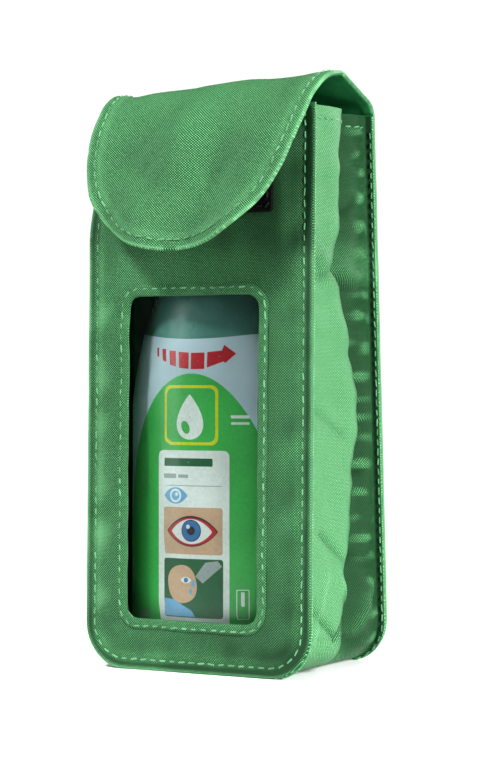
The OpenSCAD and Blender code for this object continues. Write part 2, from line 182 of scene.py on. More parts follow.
def folds(creases: tuple[Crease, ...], a: Array, b: Array) -> Array:
    """Adds up the heights of several folds at each point (a, b)."""
    return sum((c.at(a, b) for c in creases), np.zeros(np.broadcast(a, b).shape))


@dataclass(frozen=True)
class Plate:
    """A plate's outline in its own plane, with round lower and upper corners."""

    half: float
    low: float
    high: float
    r_low: float
    r_high: float
    centre: float = 0.0

    def inset(self, by: float) -> "Plate":
        """Gives the same outline drawn in by a distance, or out where it is negative."""
        return Plate(
            self.half - by, self.low + by, self.high - by,
            max(0.3, self.r_low - by), max(0.3, self.r_high - by), self.centre,
        )

    def inside(self, x: Array, z: Array) -> Array:
        """Distance from each point to the outline, by the formula of a rounded rectangle.

        Args:
            x: points' places across.
            z: points' heights.

        Returns:
            Distances, positive inside the outline.
        """
        middle = (self.low + self.high) / 2
        r = np.where(z < middle, self.r_low, self.r_high)
        qx = np.abs(x - self.centre) - self.half + r
        qz = np.abs(z - middle) - (self.high - self.low) / 2 + r
        out = np.hypot(np.maximum(qx, 0), np.maximum(qz, 0))
        return r - out - np.minimum(np.maximum(qx, qz), 0)

    def ring(self, across: int, up: int, turn: int) -> Array:
        """Walks round the outline, anticlockwise as seen from -Y, from the lower left.

        Args:
            across: points on each level side.
            up: points on each upright side.
            turn: points on each corner.

        Returns:
            Points (x, z), with the same count for every plate.
        """
        h, lo, hi, a, b = self.half, self.low, self.high, self.r_low, self.r_high
        corners = (
            (h - a, lo + a, a, -90), (h - b, hi - b, b, 0), (b - h, hi - b, b, 90), (a - h, lo + a, a, 180),
        )
        runs = (((a - h, lo), (h - a, lo), across), ((h, lo + a), (h, hi - b), up),
                ((h - b, hi), (b - h, hi), across), ((-h, hi - b), (-h, lo + a), up))
        parts = []
        for (p, q, n), (cx, cz, r, start) in zip(runs, corners):
            parts.append(np.linspace(p, q, n, endpoint=False))
            angle = np.radians(start + np.linspace(0, 90, turn, endpoint=False))
            parts.append(np.stack([cx + r * np.cos(angle), cz + r * np.sin(angle)], 1))
        return np.concatenate(parts) + [self.centre, 0]

    def walk(self, pitch: float) -> Array:
        """Steps along the whole outline.

        Args:
            pitch: about the length of a step.

        Returns:
            Points (x, z) at even steps.
        """
        ring = self.ring(60, 120, 24)
        ring = np.concatenate([ring, ring[:1]])
        run = lengths(ring)
        return points_at(ring, run, np.linspace(0, run[-1], int(run[-1] / pitch), endpoint=False))


# ---- meshes ----


def quads(rows: int, cols: int, wrap_rows: bool = False, wrap_cols: bool = False) -> Array:
    """Lists the faces of a grid of points, row by row.

    Args:
        rows: number of rows of points.
        cols: number of points in a row.
        wrap_rows: join the last row to the first.
        wrap_cols: join the last column to the first.

    Returns:
        Four point numbers for each face.
    """
    i = np.arange(rows if wrap_rows else rows - 1)[:, None]
    j = np.arange(cols if wrap_cols else cols - 1)[None, :]
    i2, j2 = (i + 1) % rows, (j + 1) % cols
    return np.stack([i * cols + j, i * cols + j2, i2 * cols + j2, i2 * cols + j], -1).reshape(-1, 4)


@dataclass
class Skin:
    """Points in millimetres, four-sided faces, and what each of them carries."""

    points: Array
    faces: Array
    uv: Array | None = None
    tone: Array | None = None
    face_slot: Array | None = None

    def joined(self, other: "Skin") -> "Skin":
        """Puts another skin beside this one.

        Args:
            other: the skin to add.

        Returns:
            One skin of both.
        """

        def both(a: Array | None, b: Array | None, na: int, nb: int, width: tuple[int, ...]) -> Array:
            """Joins what two skins carry, with zeros where one carries nothing.

            Args:
                a, b: what each skin carries.
                na, nb: how many entries each skin should have.
                width: the shape of one entry.

            Returns:
                Both, one after the other.
            """
            a = np.zeros((na, *width)) if a is None else a
            b = np.zeros((nb, *width)) if b is None else b
            return np.concatenate([a, b])

        n, m = len(self.points), len(other.points)
        return Skin(
            np.concatenate([self.points, other.points]),
            np.concatenate([self.faces, other.faces + n]),
            both(self.uv, other.uv, n, m, (2,)),
            both(self.tone, other.tone, n, m, ()),
            both(self.face_slot, other.face_slot, len(self.faces), len(other.faces), ()).astype(int),
        )


def normals_of(surface: Surface, a: Array, b: Array, step: float = 0.25) -> Array:
    """Unit normals of a surface: the cross product of its central differences along a and b.

    Args:
        surface: the surface's formula.
        a: first parameter of each point.
        b: second parameter of each point.
        step: half the width of a difference.

    Returns:
        Unit vectors, on the side that the right-hand rule gives.
    """
    along = surface(a + step, b) - surface(a - step, b)
    up = surface(a, b + step) - surface(a, b - step)
    n = np.cross(along, up)
    return n / np.maximum(np.linalg.norm(n, axis=-1, keepdims=True), 1e-12)


def shell(
    points: Array, normals: Array, thick: Array | float, uv: Array, tone: Array | float = 0.0,
    wrap: bool = False, lining: int = 0, butt: tuple[bool, bool] = (False, False),
) -> Skin:
    """Gives a grid of points a thickness: it goes half out and half in along the normals.

    The rim is closed by a middle row that stands out by a third of the thickness, so it looks round.

    Args:
        points: mid-surface points, rows x columns x 3.
        normals: unit normals that point to the outer side.
        thick: thickness at each point.
        uv: flat cloth coordinates at each point.
        tone: wear, painted shade and painted highlight at each point.
        wrap: the columns close on themselves.
        lining: material slot of the inner side.
        butt: whether the first and the last row meet a neighbour, and so stay flat.

    Returns:
        A closed skin.
    """
    rows, cols = points.shape[:2]
    n = rows * cols
    proud = np.full((rows, cols), 0.7)
    proud[0] *= not butt[0]
    proud[-1] *= not butt[1]
    proud = proud.reshape(-1, 1)
    half = (np.broadcast_to(thick, (rows, cols))[..., None] / 2).reshape(-1, 1)
    mid, nrm = points.reshape(-1, 3), normals.reshape(-1, 3)
    index = np.arange(n).reshape(rows, cols)
    if wrap:
        loops = [index[0], index[-1][::-1]]
    else:
        loops = [np.concatenate([index[0, :-1], index[:-1, -1], index[-1, :0:-1], index[:0:-1, 0]])]
    face = quads(rows, cols, wrap_cols=wrap)
    flat = mid[face[len(face) // 2]]
    turned = np.dot(np.cross(flat[1] - flat[0], flat[2] - flat[0]), nrm[face[len(face) // 2, 0]]) < 0
    parts, rims, edge_faces = [mid + nrm * half, mid - nrm * half], [], []
    count = 2 * n
    for loop in loops:
        nxt = np.roll(loop, -1)
        tangent = mid[nxt] - mid[np.roll(loop, 1)]
        out = np.cross(tangent, nrm[loop]) * (-1 if turned else 1)
        out /= np.maximum(np.linalg.norm(out, axis=1, keepdims=True), 1e-12)
        parts.append(mid[loop] + out * half[loop] * proud[loop])
        ring = count + np.arange(len(loop))
        rims.append(loop)
        after = np.roll(ring, -1)
        edge_faces.append(np.stack([nxt, loop, ring, after], 1))
        edge_faces.append(np.stack([after, ring, loop + n, nxt + n], 1))
        count += len(loop)
    faces = np.concatenate([face, face[:, ::-1] + n, *edge_faces])
    slots = np.zeros(len(faces), int)
    slots[len(face):2 * len(face)] = lining
    if turned:
        faces = faces[:, ::-1]
    rim = np.concatenate(rims)
    flat_uv, flat_tone = uv.reshape(-1, 2), np.broadcast_to(tone, (rows, cols)).reshape(-1)
    return Skin(
        np.concatenate(parts), faces, np.concatenate([flat_uv, flat_uv, flat_uv[rim]]),
        np.concatenate([flat_tone, flat_tone, flat_tone[rim]]), slots,
    )


def make_object(
    name: str, skin: Skin, materials: list[bpy.types.Material], sharp: float = 50.0,
) -> bpy.types.Object:
    """Puts a skin into a new mesh object at the origin, in metres.

    Args:
        name: the piece's name.
        skin: its points and faces.
        materials: its materials, in the order of the faces' slots.
        sharp: angle in degrees past which an edge is shaded as sharp.

    Returns:
        The new object.
    """
    mesh = bpy.data.meshes.new(name)
    faces = skin.faces.astype(np.int32)
    p = skin.points[faces]
    volume = (np.cross(p[:, 0], p[:, 1]) * p[:, 2]).sum() + (np.cross(p[:, 0], p[:, 2]) * p[:, 3]).sum()
    if volume < 0:
        faces = np.ascontiguousarray(faces[:, ::-1])
    mesh.vertices.add(len(skin.points))
    mesh.vertices.foreach_set("co", (skin.points * MM).astype(np.float32).ravel())
    mesh.loops.add(faces.size)
    mesh.loops.foreach_set("vertex_index", faces.ravel())
    mesh.polygons.add(len(faces))
    mesh.polygons.foreach_set("loop_start", np.arange(0, faces.size, 4, dtype=np.int32))
    mesh.polygons.foreach_set("use_smooth", np.ones(len(faces), bool))
    for material in materials:
        mesh.materials.append(material)
    if skin.face_slot is not None:
        mesh.polygons.foreach_set("material_index", skin.face_slot.astype(np.int32))
    if skin.uv is not None:
        layer = mesh.uv_layers.new(name="cloth")
        layer.data.foreach_set("uv", skin.uv[faces.ravel()].astype(np.float32).ravel())
    if skin.tone is not None:
        mesh.attributes.new("tone", "FLOAT", "POINT").data.foreach_set("value", skin.tone.astype(np.float32))
    mesh.update(calc_edges=True)
    mesh.set_sharp_from_angle(angle=math.radians(sharp))
    obj = bpy.data.objects.new(name, mesh)
    bpy.context.scene.collection.objects.link(obj)
    return obj


def end_caps(rows: int, around: int) -> Array:
    """Lists the faces that close the first and the last ring of a tube.

    Args:
        rows: number of rings.
        around: points in a ring, an even number.

    Returns:
        Four point numbers for each face.
    """
    k = np.arange(around // 2 - 1)
    cap = np.stack([k, k + 1, around - 2 - k, around - 1 - k], 1)
    return np.concatenate([cap[:, ::-1], cap + (rows - 1) * around])


def tube(path: Array, up: Array, width: Array | float, height: Array | float, around: int, power: float = 2.0,
         closed: bool = False) -> Skin:
    """Carries a superellipse along a path: |x/width|^power + |y/height|^power = 1.

    Args:
        path: points along the middle, N x 3.
        up: unit directions of the section's height, N x 3.
        width: half width of the section.
        height: half height of the section.
        around: points round the section.
        power: 2 for an ellipse, more for a squarer section.
        closed: the path ends where it starts.

    Returns:
        A closed skin, with uv along and round the path.
    """
    ahead, behind = np.roll(path, -1, 0), np.roll(path, 1, 0)
    if not closed:
        ahead[-1], behind[0] = path[-1], path[0]
    along = ahead - behind
    along /= np.linalg.norm(along, axis=1, keepdims=True)
    side = np.cross(along, up)
    side /= np.linalg.norm(side, axis=1, keepdims=True)
    angle = np.linspace(0, 2 * np.pi, around, endpoint=False)
    ca, sa = np.cos(angle), np.sin(angle)
    ex = np.sign(ca) * np.abs(ca) ** (2 / power)
    ey = np.sign(sa) * np.abs(sa) ** (2 / power)
    w = np.broadcast_to(width, len(path))[:, None, None]
    h = np.broadcast_to(height, len(path))[:, None, None]
    points = path[:, None] + side[:, None] * ex[None, :, None] * w + up[:, None] * ey[None, :, None] * h
    run = lengths(path)
    uv = np.stack(np.broadcast_arrays(run[:, None], angle[None, :] * np.mean(width)), -1)
    faces = quads(len(path), around, wrap_rows=closed, wrap_cols=True)
    points, uv = points.reshape(-1, 3), uv.reshape(-1, 2)
    if not closed:
        faces = np.concatenate([faces, end_caps(len(path), around)])
    return Skin(points, faces, uv, np.zeros(len(points)))


@dataclass(frozen=True)
class Stitch:
    """One stitch of thread: a capsule that bows out of the cloth and dives in at both ends."""

    length: float = 3.0
    radius: float = 0.26
    bow: float = 0.12
    slant: float = 0.05

    def row(self, centres: Array, along: Array, out: Array, seed: int) -> Skin:
        """Lays stitches at the given centres.

        The capsule's radius is radius * (1 - t^6)^(1/2) and its middle line stands bow * (1 - t^2)
        out of the cloth, for t from -1 to 1. Each stitch is turned and lengthened a little at random.

        Args:
            centres: middle of each stitch, N x 3.
            along: unit directions of the seam.
            out: unit normals of the cloth.
            seed: seed of the small differences.

        Returns:
            A skin of all stitches.
        """
        rng = np.random.default_rng(seed)
        side = np.cross(out, along)
        turn = rng.normal(self.slant, 0.09, len(centres))[:, None]
        along = along * np.cos(turn) + side * np.sin(turn)
        side = np.cross(out, along)
        size = rng.uniform(0.72, 1.08, len(centres))[:, None, None, None]
        t = np.linspace(-1, 1, 9)
        angle = np.linspace(0, 2 * np.pi, 6, endpoint=False)
        radius = self.radius * np.sqrt(1 - np.minimum(0.9999, t**6)) + 0.015
        a = (t * self.length / 2)[:, None] + 0 * angle
        b = radius[:, None] * np.cos(angle)
        c = radius[:, None] * np.sin(angle) + (self.bow * (1 - t**2) - 0.3 * np.abs(t) ** 5)[:, None]
        local = [v[None, :, :, None] for v in (a, b, c)]
        axes = [v[:, None, None, :] for v in (along, side, out)]
        points = centres[:, None, None, :] + size * local[0] * axes[0]
        points = points + local[1] * axes[1] + local[2] * axes[2]
        face = quads(len(t), len(angle), wrap_cols=True)
        ends = np.array([[0, 1, 2, 3], [0, 3, 4, 5]])
        last = (len(t) - 1) * len(angle)
        one = np.concatenate([face, ends[:, ::-1], ends + last])
        n = len(t) * len(angle)
        faces = (one[None] + n * np.arange(len(centres))[:, None, None]).reshape(-1, 4)
        uv = np.broadcast_to(np.stack([a, b], -1)[None], (*points.shape[:3], 2)).reshape(-1, 2)
        tone = np.broadcast_to(rng.uniform(-1, 1, len(centres))[:, None, None], points.shape[:3]).reshape(-1)
        return Skin(points.reshape(-1, 3), faces, uv, tone)

    def along_surface(self, surface: Surface, a: Array, b: Array, facing: tuple[float, float, float] | None,
                      lift: float, seed: int) -> Skin:
        """Sews a row of stitches on a surface.

        Args:
            surface: the cloth's mid-surface.
            a: first coordinate of the stitches' centres, in order.
            b: second coordinate.
            facing: a direction on the outer side, or None if the normals already point out.
            lift: distance from the mid-surface to the cloth's outer face.
            seed: seed of the small differences.

        Returns:
            A skin of all stitches.
        """
        centres, out = surface(a, b), normals_of(surface, a, b)
        if facing is not None:
            out = out * np.sign(out @ np.array(facing))[:, None]
        along = np.gradient(centres, axis=0)
        along -= (along * out).sum(1, keepdims=True) * out
        along /= np.linalg.norm(along, axis=1, keepdims=True)
        return self.row(centres + out * lift, along, out, seed)


# ---- finishes ----


class Graph:
    """Short calls that add nodes to one material."""

    def __init__(self, name: str) -> None:
        """Starts an empty material.

        Args:
            name: the material's name.
        """
        self.material = bpy.data.materials.new(name)
        self.material.use_nodes = True
        self.tree = self.material.node_tree
        self.tree.nodes.clear()

    def add(
        self, kind: str, out: int | str = 0, inputs: dict | None = None, **settings: object,
    ) -> bpy.types.NodeSocket:
        """Adds a node.

        Args:
            kind: the node's type, without ShaderNode.
            out: which output to give back.
            inputs: values or sockets for its inputs, by name or number.
            settings: the node's own settings.

        Returns:
            The chosen output socket.
        """
        node = self.tree.nodes.new("ShaderNode" + kind)
        for key, value in settings.items():
            setattr(node, key, value)
        for key, value in (inputs or {}).items():
            if isinstance(value, bpy.types.NodeSocket):
                self.tree.links.new(value, node.inputs[key])
            else:
                node.inputs[key].default_value = value
        return node.outputs[out]

    def math(self, operation: str, a: object, b: object = 0.0, clamp: bool = False) -> bpy.types.NodeSocket:
        """Adds a Math node."""
        return self.add("Math", inputs={0: a, 1: b}, operation=operation, use_clamp=clamp)

    def mix(self, factor: object, a: object, b: object) -> bpy.types.NodeSocket:
        """Mixes two colours: the Mix node's colour sockets are numbers 6 and 7.

        Args:
            factor: 0 for the first colour, 1 for the second.
            a: first colour.
            b: second colour.

        Returns:
            The mixed colour.
        """
        node = self.tree.nodes.new("ShaderNodeMix")
        node.data_type = "RGBA"
        for key, value in ((0, factor), (6, a), (7, b)):
            if isinstance(value, bpy.types.NodeSocket):
                self.tree.links.new(value, node.inputs[key])
            else:
                node.inputs[key].default_value = value
        return node.outputs[2]

    def spread(
        self, value: object, low: float, high: float, to_low: float, to_high: float,
    ) -> bpy.types.NodeSocket:
        """Maps a range of values smoothly to another one."""
        return self.add("MapRange", inputs={0: value, 1: low, 2: high, 3: to_low, 4: to_high},
                        interpolation_type="SMOOTHSTEP")

    def noise(
        self, vector: object, scale: float, detail: float = 3.0, rough: float = 0.5,
    ) -> bpy.types.NodeSocket:
        """Adds a Noise texture and gives its value."""
        inputs = {"Vector": vector, "Scale": scale, "Detail": detail, "Roughness": rough}
        return self.add("TexNoise", "Fac", inputs)

    def place(self) -> bpy.types.NodeSocket:
        """Gives Object coordinates, in metres."""
        return self.add("TexCoord", "Object")

    def cloth_uv(self) -> tuple[bpy.types.NodeSocket, bpy.types.NodeSocket]:
        """Gives the flat cloth's two coordinates, in millimetres."""
        split = self.add("SeparateXYZ", inputs={0: self.add("UVMap", uv_map="cloth")}).node
        return split.outputs[0], split.outputs[1]

    def bump(self, height: object, depth_mm: float, base: object | None = None) -> bpy.types.NodeSocket:
        """Turns a height into a bent normal.

        Args:
            height: the height, mostly from 0 to 1.
            depth_mm: how many millimetres a height of 1 stands for.
            base: a normal to bend further, if any.

        Returns:
            The bent normal.
        """
        inputs = {"Height": height, "Strength": 1.0, "Distance": depth_mm * MM}
        if base is not None:
            inputs["Normal"] = base
        return self.add("Bump", inputs=inputs)

    def surface(
        self, colour: object, rough: object, normal: object | None = None, **sockets: object,
    ) -> bpy.types.Material:
        """Ends the material in a Principled shader.

        Args:
            colour: base colour.
            rough: roughness.
            normal: bent normal, if any.
            sockets: other inputs, with _ for a space.

        Returns:
            The finished material.
        """
        inputs = {"Base Color": colour, "Roughness": rough}
        inputs.update({key.replace("_", " "): value for key, value in sockets.items()})
        if normal is not None:
            inputs["Normal"] = normal
        self.end(self.add("BsdfPrincipled", inputs=inputs))
        return self.material

    def end(self, shader: bpy.types.NodeSocket) -> None:
        """Links a shader to the material's output."""
        out = self.tree.nodes.new("ShaderNodeOutputMaterial")
        self.tree.links.new(shader, out.inputs["Surface"])


Colour = tuple[float, float, float, float]


@dataclass(frozen=True)
class WovenFinish:
    """Coated nylon in a plain weave: sin * sin gives the crowns of warp and weft."""

    name: str
    base: Colour
    light: Colour
    dark: Colour
    yarn: float = 0.44
    relief: float = 0.10
    rough: float = 0.46
    sheen: float = 0.04
    dots: float = 0.95

    def material(self) -> bpy.types.Material:
        """Builds the finish. Every second crown shines brighter as a painted highlight and the gaps between
        yarns get painted shade; the tone attribute pales rubbed edges and paints highlight and shade on
        folds.

        Returns:
            The finished material.
        """
        g = Graph(self.name)
        u, v = g.cloth_uv()
        waver = g.math("MULTIPLY", g.noise(g.place(), 420.0, 2.0), 1.1)
        su = g.math("SINE", g.math("ADD", g.math("MULTIPLY", u, math.pi / self.yarn), waver))
        sv = g.math("SINE", g.math("ADD", g.math("MULTIPLY", v, math.pi / self.yarn), waver))
        cell = g.math("MULTIPLY", su, sv)
        crown = g.math("POWER", g.math("ABSOLUTE", cell), 0.6)
        patchy = g.noise(g.place(), 38.0, 4.0, 0.55)
        grain = g.noise(g.place(), 1300.0, 2.0)
        tone = g.add("Attribute", "Fac", attribute_name="tone")
        body = g.mix(g.spread(patchy, 0.3, 0.7, 0.0, 0.35), self.base, self.dark)
        # Painted shade in the gaps between the crowns
        body = g.mix(g.spread(cell, -0.25, 0.35, 0.95, 0.0), body, self.dark)
        shine = g.math("MULTIPLY", g.spread(cell, 0.30, 0.90, 0.0, self.dots),
                       g.spread(grain, 0.3, 0.65, 0.45, 1.0))
        body = g.mix(shine, body, self.light)
        # Tone above zero pales rubbed edges and paints highlight; below zero it paints shade
        body = g.mix(g.math("MULTIPLY", tone, 0.3, clamp=True), body, self.light)
        body = g.mix(g.math("MULTIPLY", tone, -0.8, clamp=True), body, self.dark)
        rough = g.spread(cell, -1.0, 1.0, self.rough + 0.15, self.rough - 0.04)
        normal = g.bump(crown, self.relief)
        return g.surface(body, rough, normal, Sheen_Weight=self.sheen, Sheen_Roughness=0.35,
                         Sheen_Tint=(0.6, 1.0, 0.65, 1.0), Specular_IOR_Level=0.14)


@dataclass(frozen=True)
class CoatedFinish:
    """The coated inner side of the nylon: smoother, with the weave just showing."""

    name: str
    base: Colour
    dark: Colour
    rough: float = 0.38

    def material(self) -> bpy.types.Material:
        """Builds the finish.

        Returns:
            The finished material.
        """
        g = Graph(self.name)
        u, v = g.cloth_uv()
        cell = g.math("MULTIPLY", g.math("SINE", g.math("MULTIPLY", u, math.pi / 0.44)),
                      g.math("SINE", g.math("MULTIPLY", v, math.pi / 0.44)))
        patchy = g.noise(g.place(), 55.0, 3.0)
        colour = g.mix(g.spread(patchy, 0.3, 0.7, 0.0, 1.0), self.base, self.dark)
        rough = g.spread(patchy, 0.3, 0.7, self.rough, self.rough + 0.1)
        normal = g.bump(g.math("ABSOLUTE", cell), 0.025)
        return g.surface(colour, rough, normal, Coat_Weight=0.15, Coat_Roughness=0.4)


@dataclass(frozen=True)
class ThreadFinish:
    """Twisted thread: slanting plies along each stitch."""

    name: str
    base: Colour
    dark: Colour
    ply: float = 0.55
    sheen: float = 0.2
    gloss: float = 0.35

    def material(self) -> bpy.types.Material:
        """Builds the finish.

        Returns:
            The finished material.
        """
        g = Graph(self.name)
        u, v = g.cloth_uv()
        slant = g.math("ADD", u, g.math("MULTIPLY", v, 1.6))
        twist = g.math("SINE", g.math("MULTIPLY", slant, 2 * math.pi / self.ply))
        tone = g.add("Attribute", "Fac", attribute_name="tone")
        # Painted shade in the grooves between plies, and a random difference from stitch to stitch
        shade = g.math("ADD", g.math("MULTIPLY", twist, 0.3), g.math("MULTIPLY", tone, 0.4))
        colour = g.mix(g.spread(shade, -0.5, 0.5, 1.0, 0.0), self.base, self.dark)
        return g.surface(colour, 0.5, g.bump(twist, 0.05), Sheen_Weight=self.sheen, Sheen_Roughness=0.4,
                         Specular_IOR_Level=self.gloss)


class Direction(Enum):
    """Which way a wall of the pouch faces."""

    FRONT = -1
    BACK = 1


def drawn_in(points: Array) -> Array:
    """Draws the left front corner of the mouth in under the flap, most at its top.

    Args:
        points: places on the walls.

    Returns:
        The places after the pull.
    """
    pull = 8.0
    x, y, z = points[..., 0], points[..., 1], points[..., 2]
    out = points.copy()
    out[..., 0] += pull * ease(z, 146, 191) * ease(-x, 12, 43) * ease(-y, -14, 20)
    return out


@dataclass(frozen=True)
class Wall:
    """The front or back cloth: a plane that leans in, pillowed a little by the seams."""

    outline: Plate
    foot_y: float
    slope: float
    thick: float
    facing: Direction
    pillow: float = 1.0
    seed: int = 3
    hem: float = 3.4

    def outer_y(self, z: Array) -> Array:
        """Gives the y of the plane of the outer face at a height."""
        return self.foot_y + self.slope * z

    def puff(self, x: Array, z: Array) -> Array:
        """How far the cloth stands out: full between the seams, drawn in along the stitches.

        Args:
            x: places across.
            z: heights.

        Returns:
            Distances out of the wall's plane.
        """
        gap = self.outline.inside(x, z)
        body = ease(gap, self.hem, self.hem + 9)
        line = hump(gap, self.hem, 0.9)
        waves = ripples(x, z, 26, self.seed) * 0.36 + ripples(x, z, 10, self.seed + 1) * 0.16
        return self.pillow * body + waves * (0.25 + 0.75 * body) - 0.22 * line

    def place(self, x: Array, z: Array) -> Array:
        """Gives mid-surface points.

        Args:
            x: places across.
            z: heights.

        Returns:
            Points in space.
        """
        out = self.facing.value
        y = self.outer_y(z) - out * self.thick / 2 + out * self.puff(x, z)
        return drawn_in(np.stack(np.broadcast_arrays(x, y, z), -1))

    def lay(self, x: Array, z: Array) -> tuple[Array, Array]:
        """Gives mid-surface points and the normals of the outer side."""
        n = normals_of(self.place, x, z)
        return self.place(x, z), n * np.sign(n[..., 1:2] * self.facing.value)


def plate_grid(plate: Plate, across: int, up: int) -> tuple[Array, Array]:
    """Fills a plate with rows that get shorter where the corners are round.

    Args:
        plate: the outline.
        across: points in a row.
        up: number of rows.

    Returns:
        x and z of the grid.
    """
    t = np.linspace(0, 1, up)
    t = t - 0.6 * np.sin(2 * np.pi * t) / (2 * np.pi)
    z = plate.low + (plate.high - plate.low) * t
    low, high = np.clip(z - plate.low, 0, plate.r_low), np.clip(plate.high - z, 0, plate.r_high)
    half = plate.half - plate.r_low + np.sqrt(plate.r_low**2 - (plate.r_low - low) ** 2)
    half = np.minimum(half, plate.half - plate.r_high + np.sqrt(plate.r_high**2 - (plate.r_high - high) ** 2))
    u = np.linspace(-1, 1, across)
    return plate.centre + half[:, None] * u[None, :], np.broadcast_to(z[:, None], (up, across)).copy()


def edge_gap(x: Array, y: Array, line: Array) -> Array:
    """Distance from each point to the nearest point of a finely stepped line."""
    flat = np.stack([x.ravel(), y.ravel()], 1)
    return np.sqrt(((flat[:, None] - line[None]) ** 2).sum(2).min(1)).reshape(x.shape)


@dataclass
class Workshop:
    """The finishes, and the places of the pouch's walls and window."""

    nylon: bpy.types.Material
    lining: bpy.types.Material
    thread: bpy.types.Material
    front: Wall
    back: Wall
    window: Plate
    stitch: Stitch = field(default_factory=Stitch)

    def finish(self, obj: bpy.types.Object, slot: str, body: str, *nodes: str) -> bpy.types.Object:
        """Attaches a piece to its body, and hides the plain solids it stands for.

        Args:
            obj: the piece.
            slot: material slot of the record; not used.
            body: body it moves with.
            nodes: nodes that it replaces.

        Returns:
            The same piece.
        """
        if nodes:
            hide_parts(*nodes)
        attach(obj, body)
        LOG.info("%s: %d faces", obj.name, len(obj.data.polygons))
        return obj

    def sew(self, name: str, skin: Skin, body: str, *nodes: str) -> bpy.types.Object:
        """Makes a row of stitches into a piece."""
        return self.finish(make_object(name, skin, [self.thread], 80), "thread", body, *nodes)


def build_front(shop: Workshop) -> None:
    """Makes the front cloth, its stitches, and the window's hem with its stitches.

    Args:
        shop: the finishes and the walls' places.
    """
    wall, hole = shop.front, shop.window
    counts = (70, 150, 12)
    inner, outer = hole.inset(-0.4).ring(*counts), wall.outline.ring(*counts)
    t = np.linspace(0, 1, 44)
    t = t - 0.75 * np.sin(2 * np.pi * t) / (2 * np.pi)
    flat = inner[None] + (outer - inner)[None] * t[:, None, None]
    x, z = flat[..., 0], flat[..., 1]
    points, normals = wall.lay(x, z)
    gap = wall.outline.inside(x, z)
    # Painted shade and painted highlight of puckers along the seam band, in colour only
    painted_pucker_shade = ripples(x, z, 13, 61) * hump(gap, wall.hem + 3, 5)
    # Painted shade on the cloth to the right and low down, and the flap's painted shadow just below it
    painted_shade = 0.50 * ease(x, -30, 30) + 0.42 * ease(-z, -45, -8) + 0.4 * ease(z, 136, 146)
    # Paler along the edge and just inside the stitches, minus the painted shade; a darker strip lies between
    # the edge and the stitches
    cloth_tone = -painted_shade + 0.9 * hump(gap, 0, 0.7) + 0.3 * hump(gap, wall.hem + 1.6, 1.2)
    cloth_tone = cloth_tone - 0.8 * hump(gap, 1.6, 0.7) + 0.3 * painted_pucker_shade
    cloth = shell(points, normals, wall.thick, flat, cloth_tone, wrap=True, lining=1)
    panel = make_object("front_cloth", cloth, [shop.nylon, shop.lining])
    shop.finish(panel, "nylon", "pouch", "front_panel")

    seam = wall.outline.inset(wall.hem - 0.2).walk(STITCH_PITCH)
    rows = shop.stitch.along_surface(wall.place, seam[:, 0], seam[:, 1], (0, -1, 0), wall.thick / 2, 11)
    shop.sew("front_seam_stitches", rows, "pouch", "front_seam_thread")

    band, around = 1.75, 20
    path = hole.inset(-band).walk(0.7)
    y = wall.place(path[:, 0], path[:, 1])[:, 1] - wall.thick / 2 - 0.25
    y = y + 0.1 * ripples(path[:, 0], path[:, 1], 8, 5)
    line = np.stack([path[:, 0], y, path[:, 1]], 1)
    up = np.tile([0.0, -1.0, 0.0], (len(line), 1))
    width = band + 0.12 * ripples(path[:, 0], path[:, 1], 12, 6)
    skin = tube(line, up, width, 0.55, around, 2.6, closed=True)
    skin.uv = np.stack([skin.points[:, 0] + skin.points[:, 1] * 0.5, skin.points[:, 2]], 1)
    # Painted shade over the whole hem, weaker on its front crown
    skin.tone = -0.5 + 0.3 * np.clip(-(skin.points[:, 1] - np.repeat(y, around)) / 0.5, 0, 1)
    shop.finish(make_object("window_hem", skin, [shop.nylon]), "nylon", "pouch", "window_binding")
    sewn = hole.inset(-2.55).walk(STITCH_PITCH)
    lift = wall.thick / 2 + 0.62
    rows = shop.stitch.along_surface(wall.place, sewn[:, 0], sewn[:, 1], (0, -1, 0), lift, 12)
    shop.sew("window_stitches", rows, "pouch", "window_seam_thread")


def build_pane(shop: Workshop, film: bpy.types.Material) -> None:
    """Makes the clear pane: thin film behind the front cloth, waved by about a tenth of a millimetre.

    Args:
        shop: the finishes and the walls' places.
        film: the pane's finish.
    """
    plate = shop.window.inset(-3.5)
    x, z = plate_grid(plate, 60, 110)
    wall = shop.front

    def place(a: Array, b: Array) -> Array:
        """Gives points of the film behind the front cloth."""
        y = wall.outer_y(b) + wall.thick + 0.25 - 0.12 * ripples(a, b, 34, 21)
        return np.stack(np.broadcast_arrays(a, y, b), -1)

    normals = normals_of(place, x, z)
    normals *= np.sign(-normals[..., 1:2])
    skin = shell(place(x, z), normals, 0.22, np.stack([x, z], -1))
    pane = shop.finish(make_object("clear_pane", skin, [film]), "clear_film", "pouch", "window_pane")


def build_back(shop: Workshop) -> None:
    """Makes the back cloth and its stitches.

    Args:
        shop: the finishes and the walls' places.
    """
    wall = shop.back
    x, z = plate_grid(wall.outline, 90, 190)
    points, normals = wall.lay(x, z)
    gap = wall.outline.inside(x, z)
    cloth = shell(points, normals, wall.thick, np.stack([x, z], -1), 0.9 * hump(gap, 0, 1.1), lining=1)
    panel = make_object("back_cloth", cloth, [shop.nylon, shop.lining])
    shop.finish(panel, "nylon", "pouch", "back_panel")
    seam = wall.outline.inset(wall.hem).walk(STITCH_PITCH)
    rows = shop.stitch.along_surface(wall.place, seam[:, 0], seam[:, 1], (0, 1, 0), wall.thick / 2, 13)
    shop.sew("back_seam_stitches", rows, "pouch", "back_seam_thread")


